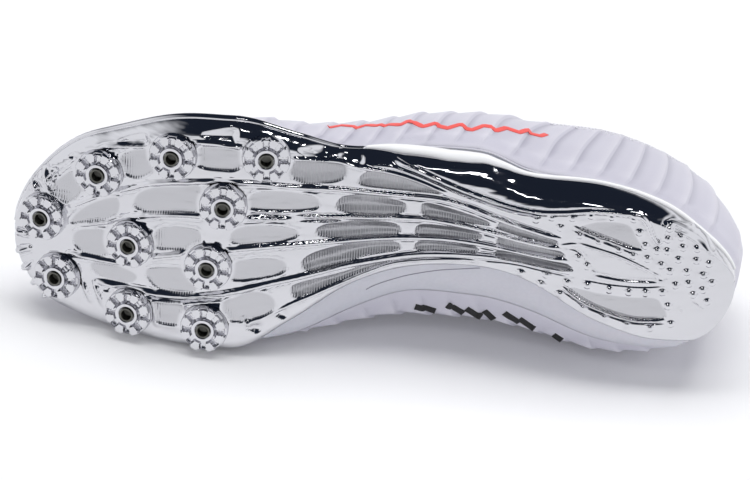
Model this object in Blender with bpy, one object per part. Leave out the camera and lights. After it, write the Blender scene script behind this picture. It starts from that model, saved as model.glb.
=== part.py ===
"""Track spike shoe, left foot, size EU 42.5, with ten spike wells and no spikes fitted.

Every piece is worked out upright, in the shoe's own axes: X forward from the heel, Y towards the
outer side, Z up from the ground. At the end the whole shoe is laid on its inner side, as it rests.
"""

from math import acos, cos, pi, radians, sin

import bmesh
import bpy
from mathutils import Matrix, Vector

# Driving sizes, in metres
LENGTH = 0.285          # heel to toe tip
BALL_WIDTH = 0.095      # across the ball
COLLAR_HEIGHT = 0.070   # ground to the back of the collar
TOE_SPRING = 0.026      # height of the plate's tip above the ground
LIP_HEIGHT = 0.013      # side wall of the plate, outer side of the heel
HEEL_OVERHANG = 0.0030  # the upper's heel stands this far behind the plate
TOE_LIP = 0.0035        # the plate's tip stands this far in front of the upper's feather
PLATE = 0.0016          # floor of the plate
LIP_WALL = 0.0014       # top edge of the plate's side wall
RIB_HEIGHT = 0.0012     # ribs and bridges above the floors of the lanes
RIB_WIDTH = 0.0022      # crest of a rib
RIB_FOOT = 0.0012       # slope on each side of a rib
WALL = 0.0016           # wall of the upper
SCALE_PITCH = 0.0114    # one scale of the upper, along the foot
SCALE_STEP = 0.0010     # height of a scale's edge
SCALE_EDGE = 0.0014     # slope of a scale's edge
SCALE_LEAN = 0.050      # how far a scale's edge leans back, as a share of the length
RAND = 0.0012           # strip of midsole seen above the side wall
RIM = 0.0040            # midsole rim that the upper stands on
DISH = 0.0030           # slope from the rim down to the foot bed
INSOLE = 0.0025         # sockliner
TONGUE = 0.0020         # padded tongue
TONGUE_TIP = 0.0150     # how far the tongue stands above the top eyelets
WELL_RADIUS = 0.0095    # toothed seat of a spike
WELL_HEIGHT = 0.0040
WELL_RIM = 0.0016       # height of the ring round the teeth
WELL_FLOOR = 0.0010     # bottom of the pockets between the teeth
HUB_RADIUS = 0.0043
HUB_WALL = 0.0012
INSERT_WALL = 0.0008    # threaded steel insert
INSERT_PROUD = 0.0003   # it stands this far above the hub
LACE_WIDTH = 0.0042
LACE_THICK = 0.0013
EYELETS = 6             # a side
GAP = 0.0003            # between pieces that touch
SEAM_GAP = 0.0005       # between midsole and upper, whose seam curves most

TEETH = 8
RING_POINTS = 2 * TEETH
INSERT_POINTS = 12

# The plate and the midsole. Widths are shares of BALL_WIDTH, the spring of TOE_SPRING, the rest
# of LIP_HEIGHT: edge and foot of each side wall, the wall heights, and the feather line on top.
SOLE_COLUMNS = ("along", "outer", "outer_foot", "inner_foot", "inner", "rise", "outer_lip",
                "inner_lip", "inset", "feather", "feather_up", "bed")
SOLE = (
    (0.00, -0.010, -0.010, -0.010, -0.010, 0.230, 0.45, 0.10, 0.004, -0.010, 0.59, 0.50),
    (0.04, 0.165, 0.145, -0.225, -0.240, 0.110, 0.70, 0.10, 0.004, -0.275, 0.85, 0.55),
    (0.10, 0.295, 0.250, -0.240, -0.255, 0.030, 0.90, 0.10, 0.004, -0.348, 0.98, 0.60),
    (0.19, 0.377, 0.310, -0.165, -0.180, 0.010, 1.05, 0.10, 0.004, -0.325, 1.10, 0.62),
    (0.29, 0.403, 0.285, -0.010, -0.020, 0.085, 1.05, 0.12, 0.004, -0.215, 1.08, 0.60),
    (0.36, 0.474, 0.330, 0.025, 0.010, 0.190, 1.05, 0.14, 0.004, -0.180, 1.05, 0.55),
    (0.46, 0.470, 0.420, -0.005, -0.030, 0.290, 0.90, 0.18, 0.006, -0.185, 1.00, 0.50),
    (0.53, 0.465, 0.410, -0.085, -0.120, 0.290, 0.62, 0.24, 0.010, -0.270, 0.98, 0.45),
    (0.61, 0.530, 0.460, -0.255, -0.290, 0.210, 0.46, 0.30, 0.020, -0.375, 0.72, 0.40),
    (0.69, 0.590, 0.510, -0.385, -0.425, 0.155, 0.46, 0.32, 0.028, -0.395, 0.50, 0.36),
    (0.77, 0.575, 0.490, -0.385, -0.425, 0.260, 0.46, 0.32, 0.028, -0.392, 0.50, 0.36),
    (0.85, 0.495, 0.420, -0.350, -0.400, 0.470, 0.40, 0.30, 0.024, -0.370, 0.46, 0.36),
    (0.91, 0.420, 0.350, -0.310, -0.355, 0.625, 0.33, 0.24, 0.020, -0.330, 0.40, 0.34),
    (0.96, 0.275, 0.225, -0.250, -0.290, 0.810, 0.25, 0.16, 0.014, -0.270, 0.34, 0.30),
    (1.00, -0.030, -0.030, -0.030, -0.030, 1.000, 0.20, 0.15, 0.004, -0.030, 0.34, 0.28),
)

# The upper above its feather line: its widest line and its top line, which is the edge of the
# collar and throat, and in front of them the ridge of the vamp. Widths are shares of BALL_WIDTH,
# heights of COLLAR_HEIGHT. The roll is how far the side turns over, 1 being level on top.
UPPER_COLUMNS = ("along", "outer", "inner", "outer_up", "inner_up", "top_along", "top_outer",
                 "top_inner", "top_outer_up", "top_inner_up", "roll")
UPPER = (
    (0.00, -0.010, -0.010, 0.50, 0.50, 0.035, -0.010, -0.010, 1.000, 1.000, 0.45),
    (0.04, 0.190, -0.270, 0.45, 0.36, 0.066, 0.160, -0.185, 0.990, 0.990, 0.45),
    (0.10, 0.300, -0.375, 0.46, 0.36, 0.113, 0.270, -0.290, 0.955, 0.955, 0.45),
    (0.19, 0.390, -0.425, 0.47, 0.38, 0.190, 0.378, -0.360, 0.885, 0.900, 0.45),
    (0.29, 0.450, -0.380, 0.50, 0.44, 0.280, 0.390, -0.325, 0.925, 0.945, 0.50),
    (0.36, 0.510, -0.355, 0.52, 0.48, 0.345, 0.310, -0.190, 1.035, 1.060, 0.60),
    (0.46, 0.505, -0.350, 0.49, 0.48, 0.430, 0.215, -0.055, 1.070, 1.090, 0.75),
    (0.53, 0.475, -0.370, 0.42, 0.43, 0.500, 0.190, -0.045, 0.980, 1.000, 0.85),
    (0.61, 0.495, -0.385, 0.27, 0.34, 0.575, 0.165, -0.020, 0.865, 0.875, 0.95),
    (0.69, 0.542, -0.385, 0.22, 0.29, 0.640, 0.130, 0.010, 0.760, 0.765, 1.00),
    (0.77, 0.527, -0.385, 0.24, 0.29, 0.720, 0.060, 0.060, 0.670, 0.670, 1.00),
    (0.85, 0.452, -0.365, 0.30, 0.33, 0.800, 0.030, 0.030, 0.635, 0.635, 1.00),
    (0.91, 0.380, -0.325, 0.37, 0.39, 0.860, 0.000, 0.000, 0.615, 0.615, 1.00),
    (0.96, 0.245, -0.265, 0.43, 0.44, 0.905, -0.020, -0.020, 0.600, 0.600, 1.00),
    (1.00, -0.030, -0.030, 0.47, 0.47, 0.930, -0.030, -0.030, 0.585, 0.585, 1.00),
)
THROAT_FRONT = 0.71     # the sides of the upper join in front of this
SWELL_AT = 0.30         # share of a side's strip that lies below its widest line
FEATHER_TURN = radians(20)

# The four ribs between the five lanes of the plate, as shares of the floor from its inner to its
# outer foot, and how far they stand out.
LANE_COLUMNS = ("along", "rib_1", "rib_2", "rib_3", "rib_4", "stand")
LANES = (
    (0.00, 0.20, 0.40, 0.60, 0.80, 0.0),
    (0.20, 0.22, 0.40, 0.58, 0.78, 0.0),
    (0.26, 0.22, 0.41, 0.56, 0.77, 1.0),
    (0.39, 0.10, 0.31, 0.53, 0.76, 1.0),
    (0.46, 0.09, 0.28, 0.51, 0.73, 1.0),
    (0.55, 0.14, 0.34, 0.56, 0.78, 1.0),
    (0.64, 0.22, 0.41, 0.60, 0.80, 1.0),
    (0.78, 0.24, 0.42, 0.60, 0.80, 1.0),
    (0.92, 0.26, 0.38, 0.54, 0.74, 1.0),
    (1.00, 0.30, 0.42, 0.55, 0.70, 0.4),
)
RIBS = ("rib_1", "rib_2", "rib_3", "rib_4")
BRIDGES = (0.337, 0.453, 0.575)     # the lanes are bridged here, shares of the length
BRIDGE_HALF = 0.012

# The spike wells, places as shares of LENGTH and BALL_WIDTH
WELL_COLUMNS = ("along", "across")
WELLS = (
    (0.958, 0.065), (0.936, -0.190), (0.880, 0.305), (0.778, 0.430), (0.652, 0.455),
    (0.835, 0.009), (0.708, 0.232), (0.727, -0.046), (0.835, -0.298), (0.730, -0.322),
)

MATERIALS = {
    # name: (linear colour, roughness, metallic)
    "chromed_plate": ((0.62, 0.63, 0.66), 0.12, 1.0),
    "white_upper": ((0.70, 0.69, 0.74), 0.50, 0.0),
    "white_foam": ((0.62, 0.61, 0.67), 0.55, 0.0),
    "threaded_steel": ((0.12, 0.12, 0.11), 0.35, 1.0),
    "sockliner_textile": ((0.45, 0.45, 0.48), 0.80, 0.0),
    "lace_polyester": ((0.75, 0.75, 0.78), 0.75, 0.0),
}


def station(along):
    """Place of a section on a scale that opens out at heel and toe, where the outline is round."""
    return acos(1 - 2 * min(max(along, 0.0), 1.0)) / pi


def read(columns, rows, name, along):
    """Value of a column at a share of the length, on a smooth curve through the table's rows."""
    column = columns.index(name)
    places = [station(row[0]) for row in rows]
    values = [row[column] for row in rows]
    here = station(along)
    last = len(rows) - 1
    index = min(max(sum(1 for place in places if place <= here) - 1, 0), last - 1)

    def slope(at):
        before, after = max(at - 1, 0), min(at + 1, last)
        if 0 < at < last and (values[at] - values[before]) * (values[after] - values[at]) <= 0:
            return 0.0
        return (values[after] - values[before]) / (places[after] - places[before])

    run = places[index + 1] - places[index]
    t = (here - places[index]) / run
    rise = values[index + 1] - values[index]
    start, end = slope(index) * run, slope(index + 1) * run
    return (values[index] + t * start + t * t * (3 * rise - 2 * start - end)
            + t ** 3 * (start + end - 2 * rise))


def sole_along(x):
    return (x - HEEL_OVERHANG) / (LENGTH - HEEL_OVERHANG)


def sole_across(name, x):
    return BALL_WIDTH * read(SOLE_COLUMNS, SOLE, name, sole_along(x))


def sole_up(name, x):
    return LIP_HEIGHT * read(SOLE_COLUMNS, SOLE, name, sole_along(x))


def ground_clearance(x):
    """Height of the plate's floor above the ground: heel, arch, ball and toe spring."""
    return TOE_SPRING * read(SOLE_COLUMNS, SOLE, "rise", sole_along(x))


def inset(edge, other, amount):
    """Moves an edge towards the other one, and never past the middle."""
    half = abs(other - edge) / 2
    return edge + min(amount, 0.9 * half) * (1 if other > edge else -1)


def sole_stations():
    """Sections of the sole, closer together round the heel and the toe."""
    shares = [0.0005, 0.004, 0.014, 0.032]
    step = 0.0225
    count = round((0.955 - 0.055) / step)
    shares += [0.055 + step * index for index in range(count + 1)]
    shares += [0.972, 0.985, 0.995, 0.9995]
    return shares


def make_object(name, bm, material):
    """One named object from a closed mesh, with its faces pointing out."""
    bmesh.ops.recalc_face_normals(bm, faces=bm.faces)
    mesh = bpy.data.meshes.new(name)
    bm.to_mesh(mesh)
    bm.free()
    mesh.materials.append(material)
    mesh.shade_smooth()
    mesh.set_sharp_from_angle(angle=radians(32))
    piece = bpy.data.objects.new(name, mesh)
    bpy.context.scene.collection.objects.link(piece)
    return piece


def loft(sections):
    """A closed solid through sections that have the same number of points."""
    bm = bmesh.new()
    rings = [[bm.verts.new(point) for point in section] for section in sections]
    count = len(rings[0])
    for ring, following in zip(rings, rings[1:]):
        for index in range(count):
            after = (index + 1) % count
            bm.faces.new((ring[index], ring[after], following[after], following[index]))
    bm.faces.new(rings[0])
    bm.faces.new(list(reversed(rings[-1])))
    return bm


def make_materials():
    made = {}
    for name, (colour, roughness, metallic) in MATERIALS.items():
        material = bpy.data.materials.new(name)
        material.use_nodes = True
        shader = material.node_tree.nodes["Principled BSDF"]
        shader.inputs["Base Color"].default_value = (*colour, 1.0)
        shader.inputs["Roughness"].default_value = roughness
        shader.inputs["Metallic"].default_value = metallic
        made[name] = material
    return made


def well_centre(index):
    along, across = WELLS[index]
    return along * LENGTH, across * BALL_WIDTH


def near_well(x, y):
    reach = WELL_RADIUS + RIB_WIDTH
    return any((x - well_x) ** 2 + (y - well_y) ** 2 < reach ** 2
               for well_x, well_y in map(well_centre, range(len(WELLS))))


def lane_depth(x, y):
    """How deep a lane's floor lies here: bridges and the seats of the wells are level."""
    along = x / LENGTH
    if near_well(x, y) or any(abs(along - bridge) < BRIDGE_HALF for bridge in BRIDGES):
        return 0.0
    return RIB_HEIGHT * read(LANE_COLUMNS, LANES, "stand", sole_along(x))


def plate_section(x):
    """Across the plate: the outer wall, lanes and ribs underneath, the inner wall, the inside."""
    base = ground_clearance(x)
    outer, inner = sole_across("outer", x), sole_across("inner", x)
    outer_foot, inner_foot = sole_across("outer_foot", x), sole_across("inner_foot", x)
    outer_lip, inner_lip = sole_up("outer_lip", x), sole_up("inner_lip", x)
    points = []
    for turn in (90, 60, 30, 0):
        along_wall, up_wall = sin(radians(turn)), 1 - cos(radians(turn))
        points.append((outer_foot + (outer - outer_foot) * along_wall, base + outer_lip * up_wall))
    width = outer_foot - inner_foot
    for rib in reversed(RIBS):
        centre = inner_foot + width * read(LANE_COLUMNS, LANES, rib, sole_along(x))
        half = min(RIB_WIDTH / 2, 0.06 * width)
        foot = min(RIB_WIDTH / 2 + RIB_FOOT, 0.09 * width)
        for offset, level in ((foot, 1), (half, 0), (-half, 0), (-foot, 1)):
            y = centre + offset
            points.append((y, base + level * lane_depth(x, y)))
    for turn in (0, 45, 90):
        along_wall, up_wall = sin(radians(turn)), 1 - cos(radians(turn))
        points.append((inner_foot + (inner - inner_foot) * along_wall, base + inner_lip * up_wall))
    floor = base + RIB_HEIGHT + PLATE
    points.append((inset(inner, outer, LIP_WALL), max(base + inner_lip, floor)))
    points.append((inset(inner_foot, outer_foot, LIP_WALL), floor))
    points.append((inset(outer_foot, inner_foot, LIP_WALL), floor))
    points.append((inset(outer, inner, LIP_WALL), max(base + outer_lip, floor)))
    return [Vector((x, y, z)) for y, z in points]


def sole_places():
    span = LENGTH - HEEL_OVERHANG
    return [HEEL_OVERHANG + share * span for share in sole_stations()]


def make_plate(material):
    sections = [plate_section(x) for x in sole_places()]
    return make_object("outsole_plate", loft(sections), material)


def feather_x(along):
    """The feather line, where upper and midsole meet, is a little shorter than the plate."""
    return HEEL_OVERHANG + 2 * GAP + along * (LENGTH - HEEL_OVERHANG - 2 * GAP - TOE_LIP)


def feather_along(x):
    return (x - HEEL_OVERHANG - 2 * GAP) / (LENGTH - HEEL_OVERHANG - 2 * GAP - TOE_LIP)


def feather(along):
    """Outer and inner point of the feather line in a section."""
    x = feather_x(along)
    base = ground_clearance(x)
    outer = BALL_WIDTH * (read(SOLE_COLUMNS, SOLE, "outer", along)
                          - read(SOLE_COLUMNS, SOLE, "inset", along))
    inner = BALL_WIDTH * read(SOLE_COLUMNS, SOLE, "feather", along)
    if outer < inner:
        outer = inner = (outer + inner) / 2
    outer_up = base + LIP_HEIGHT * read(SOLE_COLUMNS, SOLE, "outer_lip", along) + RAND + 2 * GAP
    inner_up = base + LIP_HEIGHT * read(SOLE_COLUMNS, SOLE, "feather_up", along)
    return Vector((x, outer, outer_up)), Vector((x, inner, max(inner_up, base + PLATE * 2)))


def foot_bed(along):
    """The foot bed's two edges and its height, clear of the plate's sloping outer wall."""
    outer, inner = feather(along)
    x = outer.x
    base = ground_clearance(x)
    floor = base + RIB_HEIGHT + PLATE
    height = max(base + LIP_HEIGHT * read(SOLE_COLUMNS, SOLE, "bed", along), floor + 3 * GAP)
    foot, edge = sole_across("outer_foot", x) - LIP_WALL, sole_across("outer", x) - LIP_WALL
    climb = (height - floor) / max(sole_up("outer_lip", x) - RIB_HEIGHT - PLATE, PLATE)
    wall = foot + (edge - foot) * min(climb, 1.0) - RIM / 2
    near_outer = min(inset(outer.y, inner.y, RIM + DISH), max(wall, (outer.y + inner.y) / 2))
    flank = (height - floor) / max(inner.z - floor, PLATE)
    side = inner.y + (sole_across("inner", x) - inner.y) * (1 - min(flank, 1.0)) + RIM
    near_inner = min(max(inset(inner.y, outer.y, RIM + DISH), side), (outer.y + inner.y) / 2)
    return near_outer, near_inner, height


def midsole_section(x):
    """Across the midsole: under the plate's floor, over its walls, the rim and the foot bed."""
    along = feather_along(x)
    outer, inner = feather(along)
    base = ground_clearance(x)
    floor = base + RIB_HEIGHT + PLATE + GAP
    bed_outer, bed_inner, bed = foot_bed(along)
    wall_outer = inset(sole_across("outer", x), inner.y, LIP_WALL + GAP)
    lip_outer = max(base + sole_up("outer_lip", x), floor) + GAP
    lip_inner = max(base + sole_up("inner_lip", x), floor) + GAP
    plate_inner = max(sole_across("inner", x), inner.y)
    wall_inner = inset(plate_inner, outer.y, LIP_WALL + GAP)
    outer_foot = inset(sole_across("outer_foot", x), inner.y, LIP_WALL + GAP)
    inner_foot = inset(sole_across("inner_foot", x), outer.y, LIP_WALL + GAP)
    outer_foot = min(outer_foot, wall_outer)
    inner_foot = max(inner_foot, wall_inner)
    top_outer = max(outer.z - SEAM_GAP, lip_outer + GAP)
    top_inner = max(inner.z - SEAM_GAP, lip_inner + GAP)
    belly = Vector((plate_inner * 0.35 + inner.y * 0.65, lip_inner * 0.62 + top_inner * 0.38))
    points = (
        (outer_foot, floor),
        (min(wall_outer, outer.y), lip_outer),
        (outer.y, lip_outer),
        (outer.y, top_outer),
        (inset(outer.y, inner.y, RIM), top_outer),
        (bed_outer, min(bed, top_outer)),
        (bed_inner, min(bed, top_inner)),
        (inset(inner.y, outer.y, RIM), top_inner),
        (inner.y, top_inner),
        (belly.x, belly.y),
        (plate_inner, lip_inner),
        (wall_inner, lip_inner),
        (inner_foot, floor),
    )
    return [Vector((x, y, z)) for y, z in points]


def make_midsole(material):
    places = [x for x in sole_places() if 0.002 < feather_along(x) < 0.998]
    sections = [midsole_section(x) for x in [feather_x(0.001)] + places + [feather_x(0.999)]]
    return make_object("midsole", loft(sections), material)


def insole_section(along):
    bed_outer, bed_inner, bed = foot_bed(along)
    left = inset(bed_outer, bed_inner, 2 * GAP)
    right = inset(bed_inner, bed_outer, 2 * GAP)
    bottom, top = bed + GAP, bed + GAP + INSOLE
    points = ((left, bottom), (left, top), (right, top), (right, bottom))
    return [Vector((feather_x(along), y, z)) for y, z in points]


def make_insole(material):
    shares = [share for share in sole_stations() if 0.03 < share < 0.975][::2]
    return make_object("insole", loft([insole_section(share) for share in shares]), material)


def upper_value(name, along):
    return read(UPPER_COLUMNS, UPPER, name, along)


def upper_lines(side, along):
    """Feather, widest and top point of one side of the upper in a section."""
    low = feather(along)[0 if side == "outer" else 1]
    wide = Vector((along * (LENGTH - TOE_LIP + 2 * GAP),
                   BALL_WIDTH * upper_value(side, along),
                   max(COLLAR_HEIGHT * upper_value(side + "_up", along), low.z + WALL)))
    across = upper_value("top_" + side, along)
    height = upper_value("top_" + side + "_up", along)
    if along >= THROAT_FRONT:
        across = (upper_value("top_outer", along) + upper_value("top_inner", along)) / 2
        height = (upper_value("top_outer_up", along) + upper_value("top_inner_up", along)) / 2
    top = Vector((LENGTH * upper_value("top_along", along), BALL_WIDTH * across,
                  COLLAR_HEIGHT * height))
    return low, wide, top


def upper_point(side, along, up):
    """A point on the last's surface: up is 0 at the feather line and 1 at the top line."""
    low, wide, top = upper_lines(side, along)
    if up <= SWELL_AT:
        turn = FEATHER_TURN + (pi / 2 - FEATHER_TURN) * up / SWELL_AT
        out = (sin(turn) - sin(FEATHER_TURN)) / (1 - sin(FEATHER_TURN))
        rise = (cos(FEATHER_TURN) - cos(turn)) / cos(FEATHER_TURN)
        start, end = low, wide
    else:
        limit = pi / 2 * upper_value("roll", along)
        turn = limit * (up - SWELL_AT) / (1 - SWELL_AT)
        out = (1 - cos(turn)) / (1 - cos(limit))
        rise = sin(turn) / sin(limit)
        start, end = wide, top
    return Vector((start.x + (end.x - start.x) * out, start.y + (end.y - start.y) * out,
                   start.z + (end.z - start.z) * rise))


def upper_normal(side, along, up):
    """Outward direction of the last's surface, from its two slopes."""
    step = 0.004
    before, after = max(along - step, 0.0), min(along + step, 1.0)
    below, above = max(up - 0.02, 0.0), min(up + 0.02, 1.0)
    lengthwise = upper_point(side, after, up) - upper_point(side, before, up)
    upward = upper_point(side, along, above) - upper_point(side, along, below)
    if along in (0.0, 1.0):
        lengthwise = Vector((0, 1 if side == "outer" else -1, 0)) * (1 if along == 0.0 else -1)
    normal = lengthwise.cross(upward).normalized()
    return normal if side == "inner" else -normal


def upper_up_shares():
    return (0.0, 0.14, SWELL_AT, 0.42, 0.54, 0.66, 0.78, 0.90, 1.0)


def upper_columns():
    """Strips of the upper's grid: each scale has one at the foot and one on top of its edge."""
    count = round(LENGTH / SCALE_PITCH)
    edge = SCALE_EDGE / LENGTH
    columns = [(share, 0.0) for share in (0.0, 0.004, 0.014, 0.026)]
    for index in range(1, count):
        columns.append((index / count, 0.0))
        columns.append((index / count + edge, 1.0))
    columns += [(share, 0.0) for share in (0.977, 0.990, 0.997, 1.0)]
    return columns


def leaning(along, up):
    """The scales' edges lean back, least at heel and toe."""
    return along - SCALE_LEAN * sin(pi * station(along)) ** 2 * up


def scale_relief(level, along, up):
    """The scales die out at the feather line, the top line and the toe."""
    fade = min(1.0, up / 0.14, (1.0 - up) / 0.10) * min(1.0, (1.0 - along) / 0.20, along / 0.03)
    return SCALE_STEP * level * max(fade, 0.0)


def wall_inside(side, along, up, point, normal):
    """The inner face of the wall: level with the feather line at its foot, and never under it."""
    if up == 0.0:
        normal = Vector((normal.x, normal.y, 0)).normalized()
    inner = point - normal * WALL
    inner.z = max(inner.z, upper_point(side, along, 0.0).z)
    return inner


def make_upper(material):
    bm = bmesh.new()
    columns = upper_columns()
    ups = upper_up_shares()
    last = len(columns) - 1
    outside, inside, joined = {}, {}, {}
    for side in ("outer", "inner"):
        for index, (along, level) in enumerate(columns):
            for row, up in enumerate(ups):
                here = leaning(along, up)
                shared = index in (0, last) or (row == len(ups) - 1 and here >= THROAT_FRONT)
                key = (side, index, row)
                joined[key] = row == len(ups) - 1 and here >= THROAT_FRONT
                if shared and side == "inner":
                    outside[key] = outside["outer", index, row]
                    inside[key] = inside["outer", index, row]
                    continue
                point = upper_point(side, here, up)
                normal = upper_normal(side, here, up)
                if joined[key]:
                    normal = (normal + upper_normal("inner", here, up)).normalized()
                outside[key] = bm.verts.new(point + normal * scale_relief(level, here, up))
                inside[key] = bm.verts.new(wall_inside(side, here, up, point, normal))
    for side in ("outer", "inner"):
        for index in range(last):
            for row in range(len(ups) - 1):
                corners = ((side, index, row), (side, index + 1, row),
                           (side, index + 1, row + 1), (side, index, row + 1))
                bm.faces.new([outside[corner] for corner in corners])
                bm.faces.new([inside[corner] for corner in reversed(corners)])
            low, low_next = (side, index, 0), (side, index + 1, 0)
            bm.faces.new((outside[low], outside[low_next], inside[low_next], inside[low]))
            top, top_next = (side, index, len(ups) - 1), (side, index + 1, len(ups) - 1)
            if not (joined[top] and joined[top_next]):
                bm.faces.new((outside[top], outside[top_next], inside[top_next], inside[top]))
    return make_object("upper", bm, material)


def throat_point(side, along, depth, up=1.0):
    """A point under the upper's surface, by the wall and a gap and some more."""
    return upper_point(side, along, up) - upper_normal(side, along, up) * (WALL + GAP + depth)


def tongue_rows():
    """Across the tongue from the outer to the inner side, row by row from vamp to tip."""
    rows = []
    for along in (0.76, 0.73, 0.70, 0.66, 0.61, 0.56, 0.51, 0.46, 0.42, 0.39):
        row = [throat_point("outer", along, GAP, 0.86), throat_point("outer", along, GAP, 0.985)]
        far = [throat_point("inner", along, GAP, 0.985), throat_point("inner", along, GAP, 0.86)]
        middle = (row[1] + far[0]) / 2
        if along < THROAT_FRONT - 0.03:
            middle.z += 0.35 * WALL
        rows.append(row + [middle] + far)
    climb = (rows[-1][2] - rows[-2][2]).normalized()
    for reach in (0.5, 1.0):
        rows.append([point + climb * TONGUE_TIP * reach for point in rows[9]])
    return rows


def make_tongue(material):
    rows = tongue_rows()
    across = (rows[0][0] - rows[0][4]).normalized()
    sections = []
    for index, row in enumerate(rows):
        ahead = rows[min(index + 1, len(rows) - 1)][2] - rows[max(index - 1, 0)][2]
        down = ahead.cross(across).normalized()
        if down.z > 0:
            down = -down
        sections.append(row + [point + down * TONGUE for point in reversed(row)])
    return make_object("tongue", loft(sections), material)


def eyelet_shares():
    first, last = 0.665, 0.45
    return [first + (last - first) * index / (EYELETS - 1) for index in range(EYELETS)]


def lace_path(start_side, start, end_side, end):
    """One crossing: from an eyelet over the throat to the next eyelet of the other side."""
    lift = GAP + LACE_THICK / 2 + SCALE_STEP
    path = []
    for side, along, ups in ((start_side, start, (0.93, 0.985)), (end_side, end, (0.985, 0.93))):
        for up in ups:
            path.append(upper_point(side, along, up) + upper_normal(side, along, up) * lift)
    middle = (path[1] + path[2]) / 2
    middle.z += LACE_THICK
    return path[:2] + [middle] + path[2:]


def flat_cord(path):
    """A flat woven cord along a path."""
    sections = []
    for index, point in enumerate(path):
        ahead = path[min(index + 1, len(path) - 1)] - path[max(index - 1, 0)]
        side = ahead.cross(Vector((0, 0, 1))).normalized() * LACE_WIDTH / 2
        up = side.cross(ahead).normalized() * LACE_THICK / 2
        sections.append((point + side + up, point - side + up, point - side - up, point + side - up))
    return loft(sections)


def make_lace(material):
    """All crossings, joined where they cross and where they meet over an eyelet."""
    shares = eyelet_shares()
    strands = []
    for index in range(EYELETS - 1):
        for start, end in (("outer", "inner"), ("inner", "outer")):
            path = lace_path(start, shares[index], end, shares[index + 1])
            name = "lace" if not strands else f"lace_strand_{len(strands):02d}"
            strands.append(make_object(name, flat_cord(path), material))
    lace = strands[0]
    others = bpy.data.collections.new("lace_strands")
    bpy.context.scene.collection.children.link(others)
    for strand in strands[1:]:
        bpy.context.scene.collection.objects.unlink(strand)
        others.objects.link(strand)
        strand.hide_render = True
        strand.display_type = "WIRE"
    union = lace.modifiers.new("crossings", "BOOLEAN")
    union.operation = "UNION"
    union.operand_type = "COLLECTION"
    union.collection = others
    return lace


def plate_normal(x, y):
    """Downward direction square to the plate's floor."""
    step = 0.004
    slope = (ground_clearance(x + step) - ground_clearance(x - step)) / (2 * step)
    return Vector((slope, 0, -1)).normalized()


def ring_mesh(profile, count):
    """A body turned about Z: profile rows give a radius and the heights of even and odd points."""
    bm = bmesh.new()
    rings = []
    for radius, even, odd in profile:
        ring = []
        for index in range(count):
            turn = 2 * pi * index / count
            height = even if index % 2 == 0 else odd
            ring.append(bm.verts.new((radius * cos(turn), radius * sin(turn), height)))
        rings.append(ring)
    for index, ring in enumerate(rings):
        following = rings[(index + 1) % len(rings)]
        for point in range(count):
            after = (point + 1) % count
            bm.faces.new((ring[point], ring[after], following[after], following[point]))
    return bm


def bore_radius():
    return HUB_RADIUS - HUB_WALL


def make_wells(well_material, insert_material):
    """Ten toothed seats with threaded inserts, square to the plate where they stand."""
    tooth_tip = HUB_RADIUS + 0.16 * (WELL_RADIUS - HUB_RADIUS)
    tooth_root = WELL_RADIUS - 0.24 * (WELL_RADIUS - HUB_RADIUS)
    well_profile = (
        (bore_radius(), 0.0, 0.0),
        (bore_radius(), WELL_HEIGHT, WELL_HEIGHT),
        (HUB_RADIUS, WELL_HEIGHT, WELL_HEIGHT),
        (tooth_tip, 0.8 * WELL_HEIGHT, WELL_FLOOR),
        (tooth_root, WELL_HEIGHT, WELL_FLOOR),
        (WELL_RADIUS - 0.0006, WELL_RIM, WELL_RIM),
        (WELL_RADIUS, 0.0, 0.0),
    )
    outer, top = bore_radius() - GAP, WELL_HEIGHT + INSERT_PROUD
    insert_profile = (
        (outer - INSERT_WALL, 0.0, 0.0),
        (outer - INSERT_WALL, top, top),
        (outer, top, top),
        (outer, 0.0, 0.0),
    )
    pieces = []
    for index in range(len(WELLS)):
        x, y = well_centre(index)
        down = plate_normal(x, y)
        turn = down.to_track_quat("Z", "Y").to_matrix().to_4x4()
        seat = Vector((x, y, ground_clearance(x))) + down * GAP
        place = Matrix.Translation(seat) @ turn
        number = f"{index + 1:02d}"
        for name, profile, count, material in (
                ("spike_well_" + number, well_profile, RING_POINTS, well_material),
                ("spike_insert_" + number, insert_profile, INSERT_POINTS, insert_material)):
            piece = make_object(name, ring_mesh(profile, count), material)
            piece.matrix_world = place
            pieces.append(piece)
    return pieces


def world_points(pieces):
    graph = bpy.context.evaluated_depsgraph_get()
    points = []
    for piece in pieces:
        seen = piece.evaluated_get(graph)
        points += [piece.matrix_world @ vertex.co for vertex in seen.data.vertices]
    return points


def centre_of_mass(pieces):
    """Centre of the pieces' volume, from the tetrahedra under their triangles."""
    total, moment = 0.0, Vector()
    for piece in pieces:
        bm = bmesh.new()
        bm.from_mesh(piece.data)
        bmesh.ops.triangulate(bm, faces=bm.faces)
        bm.transform(piece.matrix_world)
        for face in bm.faces:
            a, b, c = (vertex.co for vertex in face.verts)
            volume = a.dot(b.cross(c)) / 6
            total += volume
            moment += volume * (a + b + c) / 4
        bm.free()
    return moment / total


def resting_face(points, centre, side):
    """The flat face of the hull that the body lies on, when it is put down on the given side."""
    bm = bmesh.new()
    for point in points:
        bm.verts.new(point)
    bmesh.ops.convex_hull(bm, input=bm.verts)
    best = None
    for face in bm.faces:
        if len(face.verts) < 3 or face.calc_area() < 1e-9:
            continue
        normal = face.normal.copy()
        if normal.dot(face.calc_center_median() - centre) < 0:
            normal = -normal
        foot = centre + normal * (face.verts[0].co - centre).dot(normal)
        corners = [vertex.co for vertex in face.verts]
        signs = []
        for start, end in zip(corners, corners[1:] + corners[:1]):
            signs.append((end - start).cross(foot - start).dot(face.normal) >= 0)
        if all(signs) or not any(signs):
            if best is None or normal.dot(side) > best[0].dot(side):
                best = (normal, corners)
    bm.free()
    return best


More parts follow.
